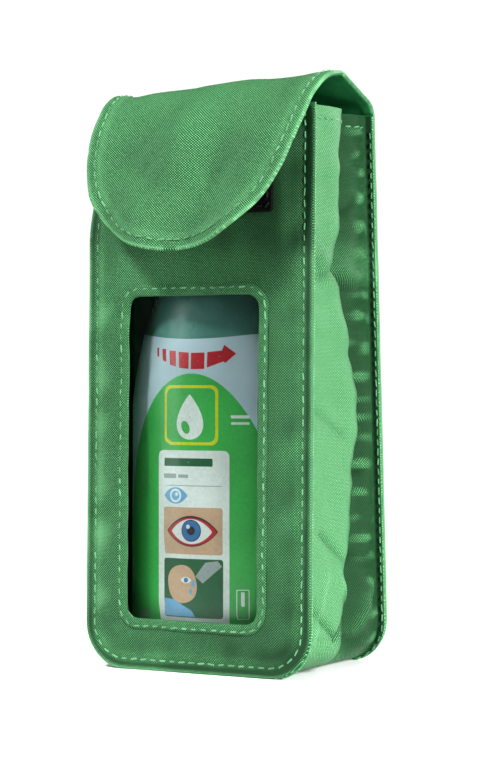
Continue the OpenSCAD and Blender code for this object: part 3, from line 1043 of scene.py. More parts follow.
@dataclass(frozen=True)
class Gusset:
    """One strip that runs down one side, under the base and up the other side.

    Its flat coordinates are the way along the strip, from the top right, and the way across, from
    front to back. Its two long edges turn out and are sewn to the front and back cloth.
    """

    shop: Workshop
    course: Plate
    thick: float = 0.95
    turn: float = 1.0
    reach: float = 2.9
    ridge_z: tuple[float, ...] = (0, 15, 44, 70, 82, 91, 104, 129, 135, 149, 173, 190)
    ridge_w: tuple[float, ...] = (0.45, 0.42, 0.56, 0.6, 0.7, 0.7, 0.62, 0.45, 0.3, 0.42, 0.42, 0.52)
    span: float = 56.0
    creases: tuple[Crease, ...] = (
        Crease((3, 24), (19, 12), 1.3, -1.5), Crease((19, 12), (33, 27), 1.3, -1.4),
        Crease((6, 12), (14, 33), 1.2, 1.0), Crease((11, 47), (25, 38), 1.4, -1.2),
        Crease((24, 30), (36, 12), 1.3, 1.1), Crease((40, 12), (52, 26), 2.0, 1.6),
        Crease((28, 33), (44, 38), 1.6, -1.0), Crease((8, 132), (24, 138), 1.8, -0.8),
        Crease((32, 108), (46, 96), 1.8, -0.9), Crease((34, 60), (50, 67), 1.7, -0.9),
        Crease((28, 150), (46, 158), 1.8, -0.9), Crease((10, 88), (26, 80), 2.0, -0.7),
    )

    def path(self, step: float) -> tuple[Array, Array, Array]:
        """Follows the middle of the strip from the top right, under the base, to the top left.

        Args:
            step: about the distance between two points.

        Returns:
            Points (x, z), unit normals that point outwards, and lengths along the strip.
        """
        p = self.course
        up = np.array([[p.half, p.high], [p.half, p.low + p.r_low]])
        angle = np.radians(np.linspace(0, -90, 25))
        right = np.stack(
            [p.half - p.r_low + p.r_low * np.cos(angle), p.low + p.r_low + p.r_low * np.sin(angle)], 1)
        corner = np.concatenate([up[:1], right])
        line = np.concatenate([corner, (corner * [-1, 1])[::-1]])
        run = lengths(line)
        s = np.linspace(0, run[-1], int(run[-1] / step))
        pts = points_at(line, run, s)
        along = np.gradient(pts, s, axis=0)
        along /= np.linalg.norm(along, axis=1, keepdims=True)
        return pts, np.stack([-along[:, 1], along[:, 0]], 1), s

    def relief(self, pts: Array, w: Array) -> Array:
        """How far the web stands out: a wavy ridge, the valley behind it, puckers and creases.

        Args:
            pts: points (x, z) along the strip.
            w: how far across, from 0 at the front seam to 1 at the back seam.

        Returns:
            Distances outwards, rows x columns.
        """
        x, z = pts[:, :1], pts[:, 1:]
        w = w[None, :]
        ridge = np.interp(z, self.ridge_z, self.ridge_w)
        side = ease(np.abs(x), 30, 39)
        hold = ease(w, 0.0, 0.16) * ease(-w, -1.0, -0.86)
        body = 2.7 * hump(w, ridge - 0.06, 0.17) - 5.6 * hump(w, ridge + 0.19, 0.13)
        body = body + 0.5 * ripples(w * 40, z, 24, 31) + 0.2 * ripples(w * 40, z, 9, 32)
        body = body + folds(self.creases, np.broadcast_to(w * self.span, (len(pts), w.shape[1])), z)
        near = hump(w, 0.9, 0.09) + 0.5 * hump(w, 0.08, 0.06)
        pucker = 0.55 * np.sin(2 * np.pi * z / 8.3 + 1.3 * np.sin(z / 7.0)) * near
        amount = np.where(x > 0, 1.0, 0.4)
        bulge = 1.6 * hump(z, 14, 9) * hump(w, 0.85, 0.2)
        return side * amount * (body * hold + pucker + bulge)

    def surface(self) -> tuple[Array, Array, Array]:
        """Lays out the whole strip: each row is a turned edge, the web with its relief, a turned edge.

        Returns:
            Mid-surface points, outward normals, and the flat cloth's coordinates.
        """
        pts, out, s = self.path(0.85)
        front, back = self.shop.front, self.shop.back
        z = np.maximum(pts[:, 1], 0)
        y0 = front.outer_y(z) + front.thick + self.thick / 2
        y1 = back.outer_y(z) - back.thick - self.thick / 2
        arc = np.linspace(0, np.pi / 2, 6)
        web = np.linspace(0, 1, 58)
        depth = (y1 - y0)[:, None] - 2 * self.turn
        r, lean = self.turn, self.thick / 2
        flange = np.linspace(self.reach, r - lean + 0.15, 6)
        off_f = np.concatenate([flange, (r - lean) - r * np.sin(arc[1:])])
        y_f = np.concatenate([np.zeros(6), r - r * np.cos(arc[1:])])
        off_w = -lean + self.relief(pts, web[1:-1])
        sideways = 0.12 + 0.88 * np.abs(out[:, :1])
        fin = -lean + (off_f + lean) * sideways
        off = np.concatenate([fin, off_w, fin[:, ::-1]], 1)
        y = np.concatenate([
            y0[:, None] + y_f, y0[:, None] + r + depth * web[None, 1:-1], y1[:, None] - y_f[::-1],
        ], 1)
        points = np.stack([pts[:, :1] + out[:, :1] * off, y, pts[:, 1:] + out[:, 1:] * off], -1)
        points[..., 2] = np.maximum(points[..., 2], self.thick / 2 + 0.02)
        points = drawn_in(points)
        du, dv = np.gradient(points, axis=0), np.gradient(points, axis=1)
        n = np.cross(dv, du)
        n /= np.maximum(np.linalg.norm(n, axis=-1, keepdims=True), 1e-9)
        middle = n.shape[1] // 2
        n *= np.sign(n[5, middle] @ np.array([out[5, 0], 0, out[5, 1]]))
        steps = np.linalg.norm(np.diff(points, axis=1), axis=2)
        across = np.concatenate([np.zeros((len(s), 1)), np.cumsum(steps, 1)], 1)
        uv = np.stack([np.broadcast_to(s[:, None], across.shape), across - across[:, middle:middle + 1]], -1)
        return points, n, uv

    def build(self) -> None:
        """Makes the strip, and the hems' stitches across the mouth on both sides."""
        points, n, uv = self.surface()
        middle = n.shape[1] // 2
        web = np.linspace(0, 1, n.shape[1])[None, :]
        edge_x = points[:, middle:middle + 1, 0]
        # Painted light on the upright sides only: full on the right, towards the key light, half on the left
        side = np.where(edge_x > 0, 1.0, 0.5) * ease(np.abs(edge_x), 30, 39)
        ridge = 0.14 + 0.72 * np.interp(points[:, middle:middle + 1, 2], self.ridge_z, self.ridge_w)
        z = points[..., 2]
        # Pucker crests near the back seam, which would catch the light, get painted glints
        gathers = np.sin(2 * np.pi * z / 8.3 + 1.3 * np.sin(z / 7.0)) + 0.6 * ripples(web * 46, z, 7, 33)
        pucker_glint = ease(gathers, 0.4, 1.3)
        # Painted shade in the valley behind the ridge, broken by the glints
        valley_shade = ease(web, ridge - 0.06, ridge + 0.06) * (1 - 0.8 * pucker_glint * hump(web, 0.80, 0.07))
        cloth_tone = 0.8 * hump(web, 0, 0.02) + 1.7 * hump(web, 1, 0.012)
        # Painted sheen on the lit band in front of the ridge
        sheen = 0.45 * side * (1 - valley_shade) * ease(web, 0.12, 0.2)
        # Painted highlight along raised creases and painted shade along sunk ones
        crease_shade = folds(self.creases, np.broadcast_to((web - 0.14) / 0.72 * self.span, z.shape), z)
        tone = cloth_tone + sheen - 1.1 * side * valley_shade + 0.3 * side * crease_shade
        skin = shell(points, n, self.thick, uv, tone, lining=1)
        obj = make_object("gusset_cloth", skin, [self.shop.nylon, self.shop.lining], 60)
        self.shop.finish(obj, "nylon", "pouch", "side_gusset")
        row = 5
        sew = [points[k, 12:-12:4][:, :] for k in (row, -row - 1)]
        out = [n[k, 12:-12:4] for k in (row, -row - 1)]
        fin = points[8:-8:4, -3]
        sew, out = [*sew, fin], [*out, np.tile([0.0, -1.0, 0.0], (len(fin), 1))]
        centres, normals = np.concatenate(sew), np.concatenate(out)
        across = np.tile([0.0, 1.0, 0.0], (len(centres) - len(fin), 1))
        along = np.concatenate([across, np.gradient(fin, axis=0)])
        along -= (along * normals).sum(1, keepdims=True) * normals
        along /= np.linalg.norm(along, axis=1, keepdims=True)
        rows = self.shop.stitch.row(centres + normals * self.thick / 2, along, normals, 14)
        self.shop.sew("mouth_hem_stitches", rows, "pouch", "mouth_hem_thread")


@dataclass
class Flap:
    """The flap: one cloth in three stretches that meet edge to edge and bend at three joints.

    Its flat coordinates are x and the way s along it from the seam. Its profile is a straight
    stretch to the ridge, an arc over the mouth, and a straight tip that stands off the front.
    """

    shop: Workshop
    half: float = 43.0
    thick: float = 1.25
    tip_x: float = -2.5
    # Height, middle and width of each soft fold
    soft_folds: tuple[tuple[float, float, float], ...] = (
        (2.3, -4, 8), (-2.0, 14, 7), (1.6, 30, 7), (-1.5, -22, 7),
    )
    seam: Array = field(default_factory=lambda: joint_mm("flap_lift"))
    ridge: Array = field(default_factory=lambda: joint_mm("flap_crease"))
    bend: Array = field(default_factory=lambda: joint_mm("flap_tip_bend"))
    tip_low: float = field(default_factory=lambda: float(box_mm("flap_tip_panel")[0][2]))

    def __post_init__(self) -> None:
        """Works out the profile as a finely stepped line with its lengths."""
        seam, ridge, bend = self.seam[1:], self.ridge[1:], self.bend[1:]
        down = np.array([0.25, -2.6])
        # The arc leaves the ridge level and reaches the tip's joint steeply: a cubic curve does both.
        span = np.linalg.norm(bend - ridge)
        fall = np.array([-0.242, -0.970])
        a, b = np.array([-1.0, 0.05]) * span * 0.52, fall * span * 0.5
        t = np.linspace(0, 1, 160)[:, None]
        h = ((2 * t**3 - 3 * t**2 + 1) * ridge + (t**3 - 2 * t**2 + t) * a * 2.0
             + (3 * t**2 - 2 * t**3) * bend + (t**3 - t**2) * b * 2.0)
        rise = np.linspace(0, 1, 60)[:, None]
        self.length = (bend[1] - self.tip_low) / 0.970
        line = np.concatenate(
            [(seam + down)[None], seam + (ridge - seam) * rise, h[1:], bend + fall * self.length * rise[1:]])
        smooth = line.copy()
        for _ in range(30):
            smooth[1:-1] = (smooth[:-2] + 2 * smooth[1:-1] + smooth[2:]) / 4
        smooth[[0, -1]] = line[[0, -1]]
        self.line = smooth
        self.run = lengths(smooth)
        marks = [0, 60, 60 + 159, len(line) - 1]
        self.cuts = self.run[marks]

    def edges(self, s: Array) -> tuple[Array, Array]:
        """Gives the two edges: straight near the seam, then a superellipse that rounds to the tip.

        Args:
            s: lengths from the seam.

        Returns:
            The left and the right edge's x.
        """
        end = self.cuts[3]
        right = np.clip((s - (self.cuts[1] + 6)) / (end - self.cuts[1] - 6), 0, 0.9985)
        left = np.clip((s - (self.cuts[2] + 1)) / (end - self.cuts[2] - 1), 0, 0.9985)
        narrow = self.half - 0.4 - 4.0 * ease(s, 2, self.cuts[1])
        xr = self.tip_x + (self.half - 0.4 - self.tip_x) * (1 - right**2.7) ** (1 / 2.1)
        xl = self.tip_x - (narrow + self.tip_x) * (1 - left**2.3) ** (1 / 2.0)
        return xl, xr

    def place(self, x: Array, s: Array) -> Array:
        """Gives mid-surface points: the profile, pushed about by soft folds down the cloth.

        Args:
            x: places across the cloth.
            s: lengths from the seam.

        Returns:
            Points in space.
        """
        y, z = np.interp(s, self.run, self.line[:, 0]), np.interp(s, self.run, self.line[:, 1])
        c1, c2, end = self.cuts[1:]
        left = ease(-x, -43, 43)
        top = hump(s, c1, 15) * ease(s, 1, 12)
        z = z - 3.8 * left * top - 1.6 * hump(x, -30, 6) * top
        y = y - 3.4 * left * top
        loose = ease(s, 6, c1) * 0.4 + 0.6 * ease(s, c1, c2)
        lean = x + 0.28 * (s - c2)
        fold = sum(height * hump(lean, middle, width) for height, middle, width in self.soft_folds)
        wave = (fold + 0.5 * ripples(x, s, 26, 41) + 0.16 * ripples(x, s, 10, 42)) * loose
        wave = wave + hump(s, (c1 + c2) / 2 - 4, 17) * (np.maximum(wave, -0.2) - wave)
        curl = 2.6 * ease(s, c2 + 8, end) * ease(x, -10, 34)
        y = y - wave * np.clip((s - c1) / 22, 0, 1) - curl
        z = z + wave * 0.8 * np.clip(1 - (s - c1) / 22, 0, 1)
        return np.stack([x, y, z], -1)

    def outline(self) -> Array:
        """Follows the cloth's edge.

        Returns:
            Flat points (x, s) down the left edge, round the tip and up the right edge.
        """
        s = self.cuts[3] - (self.cuts[3]) * np.linspace(1, 0, 420) ** 2
        xl, xr = self.edges(s)
        return np.concatenate([np.stack([xl, s], 1), np.stack([xr, s], 1)[::-1]])

    def build(self) -> list[bpy.types.Object]:
        """Makes the three stretches and their edge stitches.

        Returns:
            The made objects, cloth and stitches in turn.
        """
        line = self.outline()
        towards = {
            "flap_rear": ("pouch", self.seam + [0, 1.2, -0.4], self.seam + [0, -3.2, 1.0]),
            "flap_top": ("flap_rear", self.ridge + [0, -5.0, 0], self.ridge + [0, -14.0, 0]),
            "flap_tip": ("flap_top", self.bend + [0, 0, -3.5], self.bend + [0, 0, -12.0]),
        }
        d = np.gradient(line, axis=0)
        d /= np.maximum(np.linalg.norm(d, axis=1, keepdims=True), 1e-9)
        inner = line + 3.0 * np.stack([-d[:, 1], d[:, 0]], 1) * np.sign(np.mean(d[:200, 1]) * -1)
        keep = (inner[:, 1] > 1.0) & (edge_gap(inner[:, 0], inner[:, 1], line) > 2.8)
        inner = inner[keep]
        run = lengths(inner)
        seam = points_at(inner, run, np.arange(1.0, run[-1], STITCH_PITCH))
        made = []
        for k, (body, (parent, start, end)) in enumerate(towards.items()):
            lo, hi = self.cuts[k], self.cuts[k + 1]
            n = int((hi - lo) / 0.75) + 2
            t = np.linspace(0, 1, n)
            s = lo + (hi - lo) * (1 - (1 - t) ** 2 if body == "flap_tip" else t)
            xl, xr = self.edges(s)
            u = np.linspace(0, 1, 108)
            x = xl[:, None] + (xr - xl)[:, None] * u
            ss = np.broadcast_to(s[:, None], x.shape).copy()
            points, normals = self.place(x, ss), normals_of(self.place, x, ss)
            normals *= np.sign(normals[n // 2, 54] @ np.array([0, -0.6, 1.0]))
            gap = edge_gap(x, ss, line[::2])
            thick = self.thick + 0.3 * ease(-gap, -3.8, -3.4)
            cloth_tone = 0.9 * hump(gap, 0, 0.6) + 0.25 * hump(gap, 4.6, 1.2)
            skin = shell(points, normals, thick, np.stack([x, ss], -1), cloth_tone, lining=1,
                         butt=(k > 0, k < 2))
            obj = make_object(f"{body}_cloth", skin, [self.shop.nylon, self.shop.lining], 60)
            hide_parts(f"{body}_panel")
            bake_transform(obj)
            mine = seam[(seam[:, 1] >= lo) & (seam[:, 1] < hi)]
            facing = (0, -0.6, 1.0) if k < 2 else (0, -1.0, 0.3)
            left = mine[:, 0] < self.tip_x
            rows = None
            for part in ([mine] if k == 2 else [mine[left], mine[~left]]):
                more = self.shop.stitch.along_surface(
                    self.place, part[:, 0], part[:, 1], facing, self.thick / 2 + 0.27, 15 + k)
                rows = more if rows is None else rows.joined(more)
            sewn = make_object(f"{body}_stitches", rows, [self.shop.thread], 80)
            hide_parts(f"{body}_thread")
            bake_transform(sewn)
            made += [obj, sewn]
            LOG.info("%s: %d faces", body, len(obj.data.polygons))
        return made


# ---- webbing, patches ----


def build_belt_loop(shop: Workshop, webbing: bpy.types.Material) -> None:
    """Makes the belt loop: a ribbed band that stands off the back between two sewn ends.

    Args:
        shop: the finishes and the walls' places.
        webbing: the band's finish.
    """
    low, high = box_mm("belt_loop")
    wall = shop.back
    lean = math.atan(wall.slope)
    half, thick = (high[0] - low[0]) / 2, 1.6
    cos, sin = math.cos(lean), math.sin(lean)
    start, end = low[2] / cos, high[2] / cos
    gap = 6.5

    def stand(s: Array) -> Array:
        """Gives how far the band's middle stands off the back."""
        rise = ease(s, start + 11.5, start + 19.5) * (1 - ease(s, end - 19.5, end - 11.5))
        return thick / 2 + 0.15 + gap * rise

    def place(x: Array, s: Array, lift: float = 0.0) -> Array:
        """Gives points of the band, or above it by a lift."""
        d = stand(s) + lift
        return np.stack(np.broadcast_arrays(x, wall.foot_y + s * sin + d * cos, s * cos - d * sin), -1)

    s = np.linspace(start + 0.4, end - 0.4, 190)
    path = place(np.zeros_like(s), s)
    up = np.tile([0.0, cos, -sin], (len(s), 1))
    skin = tube(path, up, half, thick / 2, 96, 9)
    run = np.repeat(s, 96)
    skin.uv = np.stack([run, skin.points[:, 0]], 1)
    skin.tone = 0.7 * ease(np.abs(skin.points[:, 0]), half - 1.5, half)
    obj = make_object("belt_loop_webbing", skin, [webbing])
    shop.finish(obj, "webbing", "pouch", "belt_loop")
    rows = None
    for middle in (start + 6, end - 6):
        box = Plate(half - 2.2, middle - 4, middle + 4, 0.4, 0.4).walk(BOX_PITCH)
        more = shop.stitch.along_surface(place, box[:, 0], box[:, 1], (0, 1, 0), thick / 2, 18)
        rows = more if rows is None else rows.joined(more)
    shop.sew("belt_loop_stitches", rows, "pouch", "belt_loop_thread")


def build_patches(shop: Workshop, flap: Flap, fuzz: bpy.types.Material) -> None:
    """Makes the looped patch on the front cloth and the hooked patch inside the flap's tip.

    Args:
        shop: the finishes and the walls' places.
        flap: the flap, whose form the hooked patch follows.
        fuzz: the patches' finish.
    """
    low, high = box_mm("loop_patch")
    plate = Plate((high[0] - low[0]) / 2, low[2], high[2], 1, 1, (high[0] + low[0]) / 2)
    x, z = plate_grid(plate, 110, 44)
    points, normals = shop.front.lay(x, z)
    nap = 0.12 * np.random.default_rng(50).normal(size=x.shape) * ease(plate.inside(x, z), 0.2, 1.2)
    points = points + normals * (1.15 + nap)[..., None]
    skin = shell(points, normals, 1.2, np.stack([x, z], -1), 0.6 * hump(plate.inside(x, z), 0, 0.8))
    shop.finish(make_object("loop_patch_pile", skin, [fuzz]), "hook_loop", "pouch", "loop_patch")
    box = plate.inset(1.5).walk(PATCH_PITCH)
    rows = shop.stitch.along_surface(shop.front.place, box[:, 0], box[:, 1], (0, -1, 0), 1.75, 19)
    dark = ThreadFinish(
        "dark_thread", (0.010, 0.018, 0.012, 1.0), (0.002, 0.004, 0.003, 1.0), 0.55, 0.0, 0.08,
    ).material()
    sewn = make_object("loop_patch_stitches", rows, [dark], 80)
    shop.finish(sewn, "thread", "pouch", "loop_patch_thread")

    low, high = box_mm("hook_patch")
    first = flap.cuts[2] + (flap.bend[2] - high[2]) / 0.97 + 0.5
    hooks = Plate((high[0] - low[0]) / 2 - 1, first, first + 15, 1, 1, -3.0)
    x, s = plate_grid(hooks, 100, 36)
    points, normals = flap.place(x, s), normals_of(flap.place, x, s)
    normals *= -np.sign(normals[..., 1:2] * -1)
    nap = 0.1 * np.random.default_rng(51).normal(size=x.shape)
    points = points + normals * (flap.thick / 2 + 0.55 + nap)[..., None]
    skin = shell(points, normals, 1.0, np.stack([x, s], -1))
    obj = make_object("hook_patch_pile", skin, [fuzz])
    box = hooks.inset(1.5).walk(PATCH_PITCH)
    rows = shop.stitch.along_surface(flap.place, box[:, 0], box[:, 1], (0, 1, 0), flap.thick / 2 + 1.05, 20)
    sewn = make_object("hook_patch_stitches", rows, [dark], 80)
    start, end = (flap.bend + [0, 0, -3.5]) * MM, (flap.bend + [0, 0, -12.0]) * MM
    for piece, slot, node in ((obj, "hook_loop", "hook_patch"), (sewn, "thread", "hook_patch_thread")):
        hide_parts(node)
        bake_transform(piece)
        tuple(start)
        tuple(end)


# ---- bottle ----


@dataclass
class Bottle:
    """An oval bottle: rounded foot, straight body, and shoulders that curve in to the neck."""

    low: Array = field(default_factory=lambda: box_mm("bottle_shell")[0])
    high: Array = field(default_factory=lambda: box_mm("bottle_shell")[1])
    body: float = 88.0
    shoulder: float = 51.0
    neck: float = 12.5
    foot: float = 11.0

    def halves(self, z: Array, inset: float = 0.0) -> tuple[Array, Array]:
        """Works out the section: (1 - t^power)^(1/2) draws it in from the body to the neck.

        Args:
            z: heights above the foot.
            inset: distance inside the outer face.

        Returns:
            Half the width and half the depth at each height.
        """
        top = self.body + self.shoulder - inset
        out = []
        for full, power in (((self.high[0] - self.low[0]) / 2, 1.2), ((self.high[1] - self.low[1]) / 2, 1.8)):
            full, neck = full - inset, self.neck - inset
            base = full - self.foot + np.sqrt(np.maximum(0, self.foot**2 - np.maximum(0, self.foot - z) ** 2))
            t = np.clip((z - self.body) / (top - self.body), 0, 1)
            shoulder = neck + (full - neck) * np.sqrt(np.maximum(0, 1 - t**power))
            out.append(np.where(z < self.body, base, shoulder))
        return out[0], out[1]

    def rings(self, z: Array, scale: Array, inset: float, around: int = 128) -> Array:
        """Gives level rings of points.

        Args:
            z: heights above the foot.
            scale: how much of the full section each ring has, for the foot's disc.
            inset: distance inside the outer face.
            around: points in a ring.

        Returns:
            Points, rows x columns x 3.
        """
        a, b = self.halves(z, inset)
        angle = np.linspace(0, 2 * np.pi, around, endpoint=False)
        x = (self.low[0] + self.high[0]) / 2 + (a * scale)[:, None] * np.cos(angle)
        y = (self.low[1] + self.high[1]) / 2 + (b * scale)[:, None] * np.sin(angle)
        return np.stack([x, y, np.broadcast_to((z + self.low[2])[:, None], x.shape)], -1)

    def heights(self, top: float) -> tuple[Array, Array]:
        """Spaces the rings, closer where the form curves.

        Args:
            top: greatest height wanted.

        Returns:
            Heights above the foot, from its middle up, and each ring's scale.
        """
        disc = np.linspace(0.03, 0.98, 12)
        curve = self.foot * (1 - np.cos(np.linspace(0, np.pi / 2, 14)))
        rise = np.linspace(self.foot + 2, self.body, 40)
        over = self.body + self.shoulder * np.sin(np.linspace(0.02, np.pi / 2, 60))
        z = np.concatenate([0 * disc, curve, rise, over, [self.high[2] - self.low[2]]])
        scale = np.concatenate([disc, np.ones(len(z) - 12)])
        keep = z <= top
        return z[keep], scale[keep]

    def skin(self, top: float, inset: float, thick: float) -> Skin:
        """Makes a wall of the bottle's form, open at the top.

        Args:
            top: height at which it ends.
            inset: distance of the wall's middle inside the outer face.
            thick: the wall's thickness.

        Returns:
            A closed skin of the wall.
        """
        z, scale = self.heights(top)
        rings = self.rings(np.maximum(z, 0), scale, inset)
        rings[..., 2] += inset * (z < self.foot)[:, None]
        du = np.gradient(rings, axis=0)
        dv = np.roll(rings, -1, 1) - np.roll(rings, 1, 1)
        n = np.cross(dv, du)
        n /= np.maximum(np.linalg.norm(n, axis=-1, keepdims=True), 1e-9)
        return shell(rings, n, thick, rings[..., [0, 2]], wrap=True)

    def on_face(self, x: Array, z: Array, off: float) -> Array:
        """Lays flat places on the front of the bottle.

        Args:
            x: places across.
            z: heights in the shared frame.
            off: distance off the face.

        Returns:
            Points in space.
        """
        a, b = self.halves(z - self.low[2])
        middle = (self.low[:2] + self.high[:2]) / 2
        angle = np.arcsin(np.clip((x - middle[0]) / a, -0.99, 0.99))
        return np.stack([middle[0] + (a + off) * np.sin(angle), middle[1] - (b + off) * np.cos(angle), z], -1)


def oval(cx: float, cz: float, hx: float, hz: float, power: float = 2.0, turn: float = 0.0) -> Array:
    """Gives the outline of an ellipse, or of a rounded rectangle where the power is above 4.

    Args:
        cx: middle across.
        cz: middle height.
        hx: half width.
        hz: half height.
        power: 2 for an ellipse; a greater one gives tighter corners.
        turn: degrees anticlockwise.

    Returns:
        Points (x, z) round the outline.
    """
    if power > 4:
        r = min(hx, hz) * 2.2 / power
        plate = Plate(hx, cz - hz, cz + hz, r, r, cx)
        return plate.walk((4 * hx + 4 * hz) / 120)[:PRINT_POINTS]
    t = np.linspace(0, 2 * np.pi, PRINT_POINTS, endpoint=False)
    c, s = np.cos(t), np.sin(t)
    x, z = hx * np.sign(c) * np.abs(c) ** (2 / power), hz * np.sign(s) * np.abs(s) ** (2 / power)
    a = math.radians(turn)
    return np.stack([cx + x * math.cos(a) - z * math.sin(a), cz + x * math.sin(a) + z * math.cos(a)], 1)


def outline_of(*corners: tuple[float, float]) -> Array:
    """Gives a polygon's outline as even steps.

    Args:
        corners: the polygon's corners in turn.

    Returns:
        The outline's points.
    """
    line = np.array([*corners, corners[0]], float)
    run = lengths(line)
    return points_at(line, run, np.linspace(0, run[-1], PRINT_POINTS, endpoint=False))


def almond(cx: float, cz: float, hx: float, hz: float) -> Array:
    """Gives the outline of an open eye: two arcs that meet at its corners."""
    t = np.linspace(0, 2 * np.pi, PRINT_POINTS, endpoint=False)
    return np.stack([cx + hx * np.cos(t), cz + hz * np.sign(np.sin(t)) * np.abs(np.sin(t)) ** 1.7], 1)


def drop(cx: float, cz: float, hx: float, hz: float) -> Array:
    """Gives the outline of a drop: round below and pointed above.

    Args:
        cx, cz: the drop's middle.
        hx, hz: half its width and half its height.

    Returns:
        The outline's points.
    """
    t = np.linspace(0, 2 * np.pi, PRINT_POINTS, endpoint=False)
    taper = np.sqrt((1 - np.sin(t)) / 2 + 0.02)
    return np.stack([cx + hx * np.cos(t) * taper * 1.25, cz + hz * np.sin(t)], 1)


class Ink(Enum):
    """Colours printed on the label, in the order of its material slots."""

    GREEN = 0
    YELLOW = 1
    WHITE = 2
    RED = 3
    BLUE = 4
    SKIN = 5
    DARK = 6
    SKY = 7
    FOREST = 8
    GREY = 9


def label_art() -> list[tuple[Array, Ink, int]]:
    """Lists the printed shapes. Plain bars stand where words would be.

    Returns:
        Outline, ink and layer of each shape, the lowest layer first.
    """
    arch = np.array([(-3.6 + 29.3 * math.cos(a), 45 + 55.6 * math.sin(a)) for a in np.linspace(0, np.pi, 50)])
    arch = outline_of(*[tuple(p) for p in arch], (-32.9, 15.5), (25.7, 15.5))
    art = [(arch, Ink.GREEN, 1)]
    bars = (
        ((-18.7, 109.4), (-17.8, 109.4), (-17.6, 106.2), (-18.4, 106.5)),
        ((-16.1, 109.0), (-14.4, 108.9), (-14.1, 104.5), (-15.7, 105.1)),
        ((-12.8, 108.4), (-10.1, 108.2), (-9.8, 102.9), (-12.4, 103.6)),
        ((-8.9, 107.9), (-4.8, 107.6), (-4.7, 102.1), (-8.5, 102.5)),
        ((-3.9, 107.5), (1.1, 107.6), (1.2, 102.1), (-3.8, 102.0)),
        ((2.1, 107.7), (7.8, 108.3), (7.7, 110.2), (11.7, 107.2), (8.3, 104.0), (7.9, 104.6), (2.1, 102.5)),
    )
    art += [(outline_of(*b), Ink.RED, 1) for b in bars]
    art += [
        (oval(-4, 86.5, 10.3, 10.1, 9), Ink.YELLOW, 2), (oval(-4, 86.5, 9.3, 9.1, 9), Ink.GREEN, 3),
        (drop(-4, 85.9, 5.2, 7.6), Ink.WHITE, 4), (oval(-5.6, 82.4, 1.5, 2.3, 2, 25), Ink.GREEN, 5),
        (oval(-3.45, 43.2, 13.5, 31.4, 16), Ink.WHITE, 2),
        (oval(-5.2, 70.6, 9.6, 1.35, 8), Ink.FOREST, 3), (oval(-12.0, 65.9, 2.6, 0.75, 8), Ink.GREY, 3),
        (oval(-6.6, 65.9, 2.0, 0.55, 8), Ink.GREY, 3), (oval(-3.6, 62.7, 11.2, 0.14, 8), Ink.GREY, 3),
        (almond(-9.6, 59.3, 4.7, 2.8), Ink.SKY, 3), (oval(-9.6, 59.3, 2.3, 2.3), Ink.WHITE, 4),
        (oval(-9.6, 59.3, 1.6, 1.6), Ink.SKY, 5), (oval(-9.1, 59.8, 0.6, 0.6), Ink.WHITE, 6),
        (oval(-3.4, 47.5, 11.2, 7.9, 26), Ink.SKIN, 3), (almond(-3.4, 47.4, 9.6, 5.2), Ink.DARK, 4),
        (almond(-3.4, 47.3, 9.2, 4.7), Ink.RED, 5), (almond(-3.4, 47.3, 7.6, 4.2), Ink.WHITE, 6),
        (oval(-3.4, 47.6, 3.7, 3.7), Ink.DARK, 7), (oval(-3.4, 47.6, 3.4, 3.4), Ink.BLUE, 8),
        (oval(-3.4, 47.6, 1.5, 1.5), Ink.DARK, 9), (oval(-4.5, 48.9, 0.7, 0.7), Ink.WHITE, 10),
        (oval(-3.2, 28.2, 11.2, 9.9, 26), Ink.FOREST, 3), (oval(-7.0, 29.5, 5.6, 6.4, 2.3, 12), Ink.SKIN, 4),
        (outline_of((-14.2, 18.6), (-14.2, 24.5), (-10.2, 24.2), (-3.2, 20.6), (-1.8, 18.6)), Ink.SKY, 5),
        (almond(-5.4, 30.9, 2.1, 1.1), Ink.WHITE, 5), (oval(-5.4, 30.9, 0.8, 0.8), Ink.BLUE, 6),
        (outline_of((-1.8, 32.2), (0.9, 30.0), (7.6, 35.8), (6.2, 37.6), (1.8, 37.0)), Ink.GREY, 4),
        (drop(-2.6, 29.9, 0.7, 1.2), Ink.SKY, 7), (drop(-3.6, 27.3, 0.6, 1.1), Ink.SKY, 7),
        (oval(14.3, 23.2, 2.0, 5.0, 14), Ink.WHITE, 2), (oval(14.3, 23.2, 1.75, 4.75, 14), Ink.GREEN, 3),
        (oval(14.3, 25.0, 0.55, 2.4, 8), Ink.WHITE, 4),
        (oval(18.6, 31.5, 0.22, 11.5, 8), Ink.WHITE, 2), (oval(20.4, 27.5, 0.2, 8.5, 8), Ink.WHITE, 2),
        (oval(13.4, 86.0, 2.9, 0.5, 8), Ink.WHITE, 2), (oval(13.4, 83.8, 2.9, 0.4, 8), Ink.WHITE, 2),
    ]
    return art


